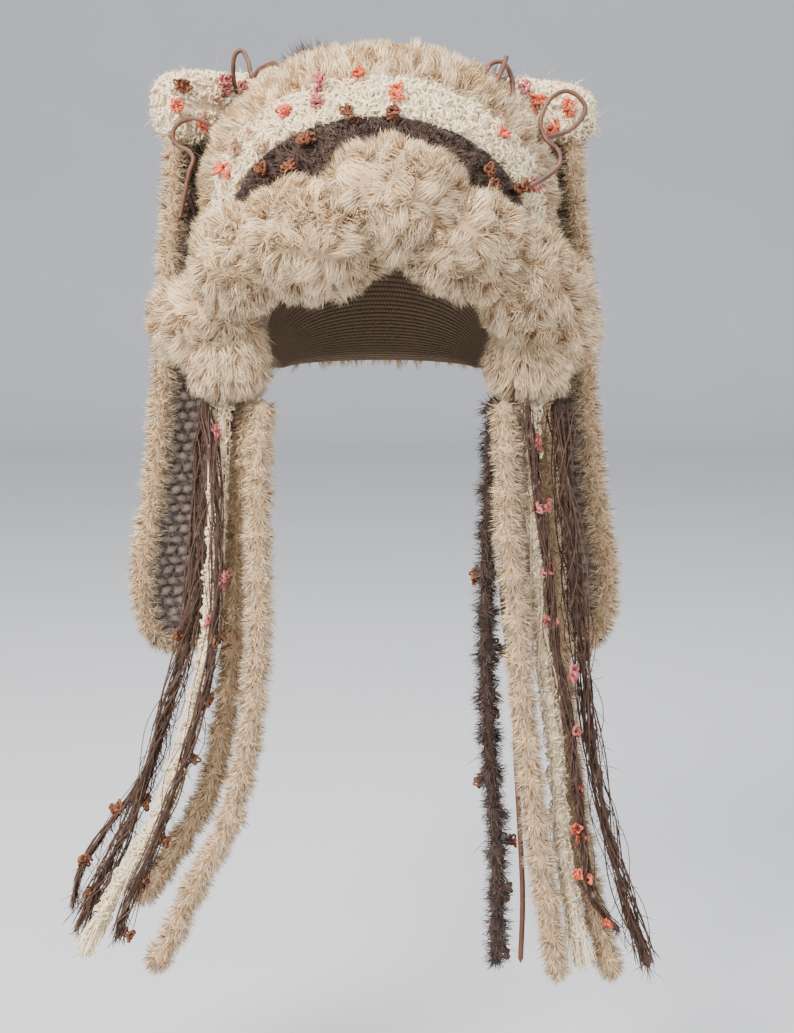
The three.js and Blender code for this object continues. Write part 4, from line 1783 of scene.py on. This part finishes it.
@dataclass
class Earflap(Patch):
    """A short fat tongue of fur that the ties hang from. U runs up it and v round it."""

    cap: Cap
    label: str
    side: int
    bottom: float = 0.228
    length: float = 0.048
    width: float = 0.050
    thick: float = 0.048
    x: float = 0.105
    y: float = -0.062
    wraps = True
    turn = -1.0
    cells = (30, 30)

    def points(self, u: Array, v: Array) -> Array:
        """Gives points of the flap under the fur.

        Args:
            u: Their first shares.
            v: Their second shares.

        Returns:
            One point for each.
        """
        swell = 0.84 + 0.18 * np.sin(np.pi * u)
        round_end = np.sqrt(np.maximum(1 - np.maximum(1 - u / 0.22, 0) ** 2, 0.003))
        angle = 2 * np.pi * v
        wide, deep = self.width / 2 * swell * round_end, self.thick / 2 * swell * round_end
        x = self.cap.x + self.side * self.x + wide * np.cos(angle)
        return rows(x, self.y + deep * np.sin(angle), -self.bottom + 0.002 + self.length * u)

    def combed(self, u: Array, v: Array) -> Array:
        """Gives the way of the pile, which is down."""
        return np.broadcast_to(DOWN, (len(u), 3))

    def clear(self, points: Array) -> Array:
        """Tells which points lie outside the cap."""
        return self.cap.outside(points, self.cap.wall)

    def build(self, rng: np.random.Generator) -> None:
        """Makes the flap.

        Args:
            rng: The random source.
        """
        work = Work()
        self.skin(work, 14, 18, 0.12, 0.4)
        hair = Pile(
            hairs=2000, fine=11000, length=0.0105, width=0.00068, stand=0.8, comb=1.0, hang=0.3,
            stray=0.35, lock=0.008, gather=0.3, tuft=0.35,
        )
        self.grow(work, hair, rng, self.clear)
        work.made(f"{self.label}_earflap_fur", [BEIGE], "beige_fur", f"{self.label}_earflap")


class Dress(Enum):
    """How a tie is dressed over its core."""

    FUR = "fur"
    BOUCLE = "boucle"
    BUNDLE = "bundle"
    FLUFFY = "fluffy"
    CHENILLE = "chenille"
    LEATHER = "leather"


@dataclass(frozen=True)
class TieLook:
    """A tie's core and finish: the core's radius as a share of the tie's size, and how far slubs swell it."""

    finish: Finish
    core_share: float
    slub: float


LOOKS = {
    Dress.FUR: TieLook(BEIGE, 0.27, 0.40),
    Dress.BOUCLE: TieLook(CREAM, 0.24, 0.65),
    Dress.BUNDLE: TieLook(MOHAIR, 0.15, 1.55),
    Dress.FLUFFY: TieLook(MOHAIR, 0.15, 1.55),
    Dress.CHENILLE: TieLook(BROWN, 0.25, 0.5),
    Dress.LEATHER: TieLook(LACE, 0.5, 0.0),
}


COATS = {
    Dress.FUR: Pile(
        hairs=2000, fine=14000, length=0.0072, width=0.00066, comb=0.4, hang=0.15, stray=0.5, lock=0.005,
        gather=0.12, tuft=0.25,
    ),
    Dress.CHENILLE: Pile(
        hairs=1500, fine=8000, length=0.0085, comb=0.2, hang=0.2, stray=0.8, lock=0.006, gather=0.2
    ),
}


@dataclass
class Tie(Patch):
    """A cord that hangs from an earflap. U runs down it and v round it."""

    name: str
    size: float
    dress: Dress
    route: tuple[Point, ...]
    blossoms: tuple[tuple[Blossom, float], ...] = ()
    slubs: float = 210.0
    strand: float = 0.0005
    wraps = True
    turn = -1.0
    cells = (90, 10)

    def __post_init__(self) -> None:
        """Draws the line and carries a frame along it."""
        self.line = Spline(self.route)
        self.core = LOOKS[self.dress].core_share * self.size
        self.stations = np.linspace(0, 1, 161)
        along = self.line.along(self.stations)
        side = unit(np.cross(along[0], [0.0, 1.0, 0.0]))
        sides = []
        for way in along:
            side = unit(side - way * np.dot(side, way))
            sides.append(side)
        self.sides = np.array(sides)

    def frame(self, u: Array) -> tuple[Array, Array, Array]:
        """Gives the line's points and the two directions across it.

        Args:
            u: Shares of the line.

        Returns:
            The points, and two directions for each.
        """
        at, along = self.line.at(u), self.line.along(u)
        side = unit(rows(*(np.interp(u, self.stations, self.sides[:, k]) for k in range(3))))
        return at, side, np.cross(along, side)

    def ring(self, u: Array, v: Array, radius: "Array | float") -> Array:
        """Gives points at a distance from the line.

        Args:
            u: Their shares of the line.
            v: Their shares of the turn round it.
            radius: The distance.

        Returns:
            One point for each.
        """
        at, side, other = self.frame(u)
        angle = 2 * np.pi * v
        ring = side * np.cos(angle)[..., None] + other * np.sin(angle)[..., None]
        return at + ring * np.broadcast_to(radius, np.shape(u))[..., None]

    def points(self, u: Array, v: Array) -> Array:
        """Gives points of the tie's core.

        Args:
            u: Their first shares.
            v: Their second shares.

        Returns:
            One point for each.
        """
        reach = np.minimum(u, 1 - u) * self.line.length / self.size
        end = np.sqrt(np.maximum(1 - np.maximum(1 - reach / 0.5, 0) ** 2, 0.01))
        wave = np.maximum(np.sin(u * self.line.length * self.slubs), 0) ** 3
        return self.ring(u, v, self.core * end * (1 + LOOKS[self.dress].slub * wave))

    def threads(
        self, work: Work, rng: np.random.Generator, count: int, radius: float, loose: float, tone: float
    ) -> None:
        """Winds loose threads round the core.

        Args:
            work: The piece that they are added to.
            rng: The random source.
            count: How many.
            radius: A thread's radius.
            loose: How far they stand off, as a share of the tie's size.
            tone: How light they are.
        """
        steps = 42
        paths = []
        for i in range(count):
            u = np.linspace(0.004, 1 - 0.05 * rng.random(), steps)
            turns = rng.uniform(-3.5, 3.5) + i / count
            sway = 0.5 + 0.5 * np.sin(u * rng.uniform(9, 22) + rng.random() * 6)
            paths.append(self.ring(u, i / count + turns * u, self.size * (0.3 + loose * sway)))
        tones = np.clip(tone + rng.normal(size=count) * 0.25, 0, 1)
        rods(work, np.array(paths), radius, 3, tones)

    def wisps(self, work: Work, rng: np.random.Generator, count: int, length: float, tone: float) -> None:
        """Adds fine stray hairs that wave off the tie.

        Args:
            work: The piece that they are added to.
            rng: The random source.
            count: How many.
            length: How long they are.
            tone: How light they are.
        """
        u = np.clip(rng.random(count), 0.01, 0.995)
        root = self.ring(u, rng.random(count), self.core * 0.9)
        way = unit(rng.normal(size=(count, 3)) + DOWN * 1.1)
        curve = rng.normal(size=(count, 3)) * 0.5 + DOWN * 0.6
        step = np.linspace(0, 1, 5)[None, :, None]
        long = length * (0.5 + rng.random((count, 1, 1)))
        paths = root[:, None] + (way[:, None] * step + curve[:, None] * step**2) * long * 0.6
        out = unit(root - self.line.at(u))
        tones = np.clip(tone + rng.normal(size=count) * 0.2, 0, 1)
        blades(work, paths, out, self.strand, tones, rng)

    def fringe(self, work: Work, rng: np.random.Generator, count: int, length: float, tone: float) -> None:
        """Frays the tie's free end into threads.

        Args:
            work: The piece that they are added to.
            rng: The random source.
            count: How many.
            length: How far they reach back from the end.
            tone: How light they are.
        """
        share = length / self.line.length
        step = np.linspace(0, 1, 10)
        paths = []
        for _ in range(count):
            start, turn = 1 - share * rng.uniform(0.7, 1.6), rng.random()
            u = start + (1 - start) * step
            spread = self.core * 0.6 + step**1.5 * self.size * rng.uniform(0.1, 0.9)
            paths.append(self.ring(u, turn + step * rng.uniform(-0.25, 0.25), spread))
        tones = np.clip(tone + rng.normal(size=count) * 0.2, 0, 1)
        rods(work, np.array(paths), self.strand, 3, tones)

    def cover(self, work: Work, rng: np.random.Generator) -> None:
        """Adds the dressing.

        Args:
            work: The piece that it is added to.
            rng: The random source.
        """
        if self.dress in COATS:
            self.grow(work, COATS[self.dress], rng)
        if self.dress is Dress.BOUCLE:
            self.curl(work, 1100, 0.0023, 0.0016, rng)
            self.threads(work, rng, count=6, radius=0.0006, loose=0.3, tone=0.6)
            self.fringe(work, rng, count=26, length=0.05, tone=0.7)
            self.wisps(work, rng, count=500, length=0.008, tone=0.7)
        elif self.dress is Dress.BUNDLE:
            self.threads(work, rng, count=15, radius=0.0006, loose=0.36, tone=0.45)
            self.threads(work, rng, count=8, radius=0.0004, loose=0.7, tone=0.8)
            self.wisps(work, rng, count=1000, length=0.014, tone=0.6)
            self.fringe(work, rng, count=14, length=0.05, tone=0.5)
        elif self.dress is Dress.CHENILLE:
            self.wisps(work, rng, count=350, length=0.012, tone=0.7)
        elif self.dress is Dress.FLUFFY:
            self.threads(work, rng, count=10, radius=0.0006, loose=0.3, tone=0.5)
            self.threads(work, rng, count=4, radius=0.0004, loose=0.8, tone=0.8)
            self.wisps(work, rng, count=1300, length=0.010, tone=0.6)
            self.fringe(work, rng, count=8, length=0.035, tone=0.5)

    def flower(self, work: Work, rng: np.random.Generator) -> list[Finish]:
        """Adds the blossoms along the front of the tie.

        Args:
            work: The piece that they are added to.
            rng: The random source.

        Returns:
            The finishes of the dressing and the blossoms, in the order of their numbers.
        """
        finishes = [LOOKS[self.dress].finish]
        for kind, share in self.blossoms:
            if kind.value not in finishes:
                finishes.append(kind.value)
            turn = rng.uniform(-0.2, 0.2) + 0.75
            heart = self.ring(np.array([share]), np.array([turn]), self.size * 0.4)[0]
            out = unit(heart - self.line.at(share) + [0, -0.003, 0])
            Petals(size=0.0052, spread=0.0024).pair(work, heart, out, finishes.index(kind.value), rng)
        return finishes

    def build(self, rng: np.random.Generator) -> None:
        """Args:
            rng: The random source.
        """
        finish = LOOKS[self.dress].finish
        work = Work()
        self.skin(work, 110, 8, 0.6 if self.dress is Dress.BOUCLE else 0.15, 0.4)
        cord = work.made(f"{self.name}_core", [finish], finish.name, self.name)
        if self.dress is not Dress.LEATHER:
            work = Work()
            self.cover(work, rng)
            work.made(f"{self.name}_yarn", self.flower(work, rng), finish.name)
        path = [tuple(map(float, point)) for point in self.line.at(np.linspace(0, 1, 60))]


CORAL_PINK = (Blossom.PINK, Blossom.CORAL)

TIES = (
    Tie("left_fur_cord_outer", 0.022, Dress.FUR, (
        (-0.09, -0.05, -0.2303), (-0.09, -0.05, -0.2423), (-0.092, -0.054, -0.262),
        (-0.097, -0.057, -0.303), (-0.1, -0.057, -0.347), (-0.103, -0.057, -0.406),
        (-0.111, -0.058, -0.471), (-0.123, -0.058, -0.519), (-0.142, -0.057, -0.554),
        (-0.16, -0.056, -0.582), (-0.176, -0.055, -0.605),
    )),
    Tie("left_fur_cord_inner", 0.022, Dress.FUR, (
        (-0.079, -0.071, -0.2303), (-0.079, -0.071, -0.2423), (-0.08, -0.077, -0.259),
        (-0.082, -0.081, -0.301), (-0.082, -0.082, -0.344), (-0.083, -0.082, -0.402),
        (-0.089, -0.082, -0.462), (-0.096, -0.082, -0.5), (-0.107, -0.081, -0.539), (-0.121, -0.08, -0.564),
        (-0.138, -0.079, -0.598), (-0.151, -0.078, -0.627), (-0.164, -0.077, -0.648),
    )),
    Tie("left_cream_cord", 0.013, Dress.BOUCLE, (
        (-0.108, -0.06, -0.2303), (-0.108, -0.06, -0.2423), (-0.109, -0.067, -0.262),
        (-0.112, -0.072, -0.32), (-0.116, -0.072, -0.364), (-0.12, -0.072, -0.407),
        (-0.131, -0.072, -0.458), (-0.145, -0.072, -0.503), (-0.164, -0.071, -0.546),
        (-0.189, -0.07, -0.588), (-0.216, -0.068, -0.64),
    )),
    Tie("left_brown_bundle", 0.012, Dress.BUNDLE, (
        (-0.11, -0.043, -0.2303), (-0.11, -0.043, -0.2423), (-0.114, -0.046, -0.258),
        (-0.119, -0.049, -0.293), (-0.125, -0.05, -0.337), (-0.132, -0.05, -0.381), (-0.142, -0.05, -0.426),
        (-0.156, -0.049, -0.466), (-0.165, -0.049, -0.498), (-0.183, -0.048, -0.544),
        (-0.207, -0.047, -0.594), (-0.227, -0.046, -0.634),
    ), ((Blossom.PINK, 0.03), (Blossom.RUST, 0.42), (Blossom.RUST, 0.72), (Blossom.RUST, 0.93))),
    Tie("left_rust_cord", 0.009, Dress.FLUFFY, (
        (-0.119, -0.07, -0.2303), (-0.119, -0.07, -0.2423), (-0.113, -0.079, -0.262), (-0.11, -0.086, -0.3),
        (-0.111, -0.088, -0.34), (-0.115, -0.088, -0.405), (-0.125, -0.088, -0.45),
        (-0.139, -0.088, -0.495), (-0.152, -0.087, -0.53), (-0.162, -0.087, -0.556),
        (-0.178, -0.086, -0.59), (-0.19, -0.085, -0.625),
    ), (
        (Blossom.PINK, 0.06), (Blossom.PINK, 0.308), (Blossom.PINK, 0.388), (Blossom.RUST, 0.421),
        (Blossom.RUST, 0.53), (Blossom.RUST, 0.639), (Blossom.RUST, 0.795), (Blossom.RUST, 0.88),
        (Blossom.RUST, 0.978),
    )),
    Tie("left_thin_cord", 0.005, Dress.FLUFFY, (
        (-0.122, -0.052, -0.2303), (-0.122, -0.052, -0.2423), (-0.126, -0.044, -0.258),
        (-0.13, -0.038, -0.296), (-0.137, -0.037, -0.361), (-0.145, -0.037, -0.429),
        (-0.16, -0.037, -0.488), (-0.176, -0.036, -0.522), (-0.198, -0.035, -0.55),
        (-0.222, -0.034, -0.586), (-0.231, -0.033, -0.622),
    ), ((Blossom.RUST, 0.783), (Blossom.RUST, 0.905))),
    Tie("right_fur_cord_inner", 0.022, Dress.FUR, (
        (0.09, -0.075, -0.2303), (0.09, -0.075, -0.2423), (0.092, -0.078, -0.266), (0.093, -0.079, -0.319),
        (0.099, -0.079, -0.368), (0.104, -0.079, -0.436), (0.111, -0.079, -0.498), (0.118, -0.079, -0.556),
        (0.126, -0.078, -0.606), (0.134, -0.077, -0.655),
    )),
    Tie("right_fur_cord_outer", 0.022, Dress.FUR, (
        (0.115, -0.044, -0.2303), (0.115, -0.044, -0.2423), (0.12, -0.044, -0.269), (0.124, -0.043, -0.32),
        (0.129, -0.043, -0.379), (0.136, -0.043, -0.439), (0.143, -0.044, -0.5), (0.152, -0.045, -0.56),
        (0.161, -0.046, -0.607), (0.171, -0.048, -0.645), (0.178, -0.049, -0.668),
    )),
    Tie("right_cream_cord", 0.013, Dress.BOUCLE, (
        (0.11, -0.066, -0.2303), (0.11, -0.066, -0.2423), (0.11, -0.067, -0.268), (0.11, -0.067, -0.304),
        (0.113, -0.066, -0.347), (0.118, -0.065, -0.406), (0.124, -0.065, -0.443), (0.131, -0.065, -0.496),
        (0.136, -0.065, -0.557), (0.144, -0.066, -0.604), (0.152, -0.068, -0.651),
    )),
    Tie("right_blossom_cord", 0.007, Dress.FLUFFY, (
        (0.106, -0.083, -0.2303), (0.106, -0.083, -0.2423), (0.11, -0.084, -0.267), (0.115, -0.083, -0.308),
        (0.121, -0.082, -0.351), (0.126, -0.082, -0.393), (0.133, -0.081, -0.431), (0.141, -0.08, -0.474),
        (0.145, -0.08, -0.513), (0.149, -0.08, -0.55), (0.156, -0.079, -0.587), (0.178, -0.076, -0.621),
    ), tuple((CORAL_PINK[i > 5], share) for i, share in enumerate(
        (0.085, 0.187, 0.295, 0.398, 0.494, 0.601, 0.696, 0.788, 0.876, 0.975)
    ))),
    Tie("right_brown_bundle", 0.012, Dress.BUNDLE, (
        (0.128, -0.066, -0.2303), (0.128, -0.066, -0.2423), (0.13, -0.066, -0.26), (0.135, -0.065, -0.31),
        (0.142, -0.065, -0.37), (0.149, -0.065, -0.42), (0.156, -0.065, -0.47), (0.164, -0.065, -0.52),
        (0.174, -0.065, -0.566), (0.187, -0.064, -0.611), (0.203, -0.062, -0.655),
    )),
    Tie("right_chenille_cord", 0.018, Dress.CHENILLE, (
        (0.084, -0.052, -0.2303), (0.084, -0.052, -0.2423), (0.083, -0.053, -0.27), (0.081, -0.054, -0.32),
        (0.08, -0.054, -0.39), (0.081, -0.055, -0.45), (0.084, -0.057, -0.5), (0.088, -0.058, -0.545),
        (0.09, -0.058, -0.6), (0.089, -0.058, -0.654),
    ), tuple((Blossom.RUST, share) for share in (0.197, 0.309, 0.434, 0.545, 0.662, 0.78, 0.873, 0.974))),
    Tie("right_leather_strip", 0.004, Dress.LEATHER, (
        (0.099, -0.044, -0.2303), (0.099, -0.044, -0.2423), (0.096, -0.04, -0.262), (0.093, -0.037, -0.31),
        (0.092, -0.037, -0.37), (0.095, -0.044, -0.405), (0.1, -0.057, -0.443), (0.102, -0.062, -0.493),
        (0.105, -0.063, -0.542), (0.108, -0.063, -0.6), (0.107, -0.063, -0.651),
    )),
)


# The leather lace


@dataclass
class LoopLace:
    """One loop or tail of the leather lace that is threaded through the side of the cap."""

    name: str
    route: tuple[Point, ...]
    width: float = 0.0034

    def build(self) -> None:
        """Makes the lace as a round thong with cut ends."""
        line = Spline(self.route)
        share = np.linspace(0, 1, 110)
        paths = line.at(share)[None]
        work = Work()
        knobs = 1 + 0.03 * np.sin(share * line.length * 900)
        radius = (self.width / 2 * knobs)[None]
        rods(work, paths, radius, 10, 0.5, tip=0.5 + 0.5 * np.sin(share * 40), blunt=0.9)
        work.made(f"{self.name}_thong", [LACE], "leather_lace", self.name)


LACES = (
    LoopLace("left_upper_lace", (
        (-0.104, 0.072, -0.024), (-0.107, 0.062, -0.008), (-0.108, 0.056, 0.006), (-0.106, 0.053, 0.017),
        (-0.101, 0.051, 0.02), (-0.096, 0.046, 0.012), (-0.092, 0.036, -0.001), (-0.087, 0.03, 0.003),
        (-0.08, 0.022, 0.006), (-0.072, 0.014, 0.006), (-0.066, 0.01, -0.004),
    )),
    LoopLace("left_lower_lace", (
        (-0.116, 0.008, -0.042), (-0.124, 0.006, -0.036), (-0.132, 0.008, -0.033), (-0.14, 0.012, -0.034),
        (-0.147, 0.014, -0.039), (-0.149, 0.014, -0.045), (-0.145, 0.012, -0.052), (-0.137, 0.008, -0.056),
        (-0.133, 0.004, -0.062), (-0.136, 0.002, -0.072), (-0.139, 0.001, -0.086), (-0.143, 0.0, -0.104),
    )),
    LoopLace("right_upper_lace", (
        (0.093, -0.016, 0.008), (0.089, -0.02, -0.003), (0.084, -0.022, -0.012), (0.079, -0.02, -0.012),
        (0.079, -0.014, -0.002), (0.083, -0.01, 0.004), (0.09, -0.01, 0.005), (0.095, -0.011, -0.001),
        (0.098, -0.012, -0.012), (0.097, -0.016, -0.03),
    )),
    LoopLace("right_lower_lace", (
        (0.108, -0.026, -0.05), (0.12, -0.02, -0.049), (0.13, -0.008, -0.046), (0.14, 0.0, -0.042),
        (0.148, 0.004, -0.035), (0.152, 0.006, -0.026), (0.147, 0.006, -0.018), (0.138, 0.004, -0.014),
        (0.128, -0.002, -0.018), (0.121, -0.012, -0.027), (0.117, -0.024, -0.04), (0.121, -0.03, -0.051),
        (0.129, -0.032, -0.058), (0.13, -0.038, -0.066), (0.121, -0.056, -0.076), (0.104, -0.072, -0.086),
    )),
)


def main() -> None:
    """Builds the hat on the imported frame."""
    logging.basicConfig(level=logging.INFO, format="%(name)s %(message)s")
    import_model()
    bpy.ops.object.select_all(action="DESELECT")
    rng = np.random.default_rng(SEED)
    studio = Studio()
    studio.camera()
    for tie in TIES:
        tie.build(rng)
    cap = Cap()
    cap.build(rng)
    Brim(cap).build(rng)
    Ear(cap, "left", -1, 0.091, 0.0, (
        (Blossom.RUST, 0.076, 0.006), (Blossom.TAN, 0.053, 0.015), (Blossom.PINK, 0.042, 0.003),
        (Blossom.PINK, 0.028, 0.004), (Blossom.CORAL, 0.083, 0.021), (Blossom.CORAL, 0.060, 0.034),
    )).build(rng)
    Ear(cap, "right", 1, 0.083, 0.012, (
        (Blossom.CORAL, 0.057, 0.015), (Blossom.CORAL, 0.049, 0.023), (Blossom.CORAL, 0.080, 0.023),
        (Blossom.CORAL, 0.022, 0.006), (Blossom.PINK, 0.044, 0.005), (Blossom.CORAL, 0.066, 0.036),
    )).build(rng)
    for label, side in (("left", -1), ("right", 1)):
        Earflap(cap, label, side).build(rng)
    for lace in LACES:
        lace.build()
    studio.lights()
    studio.stage()


if __name__ == "__main__":
    main()
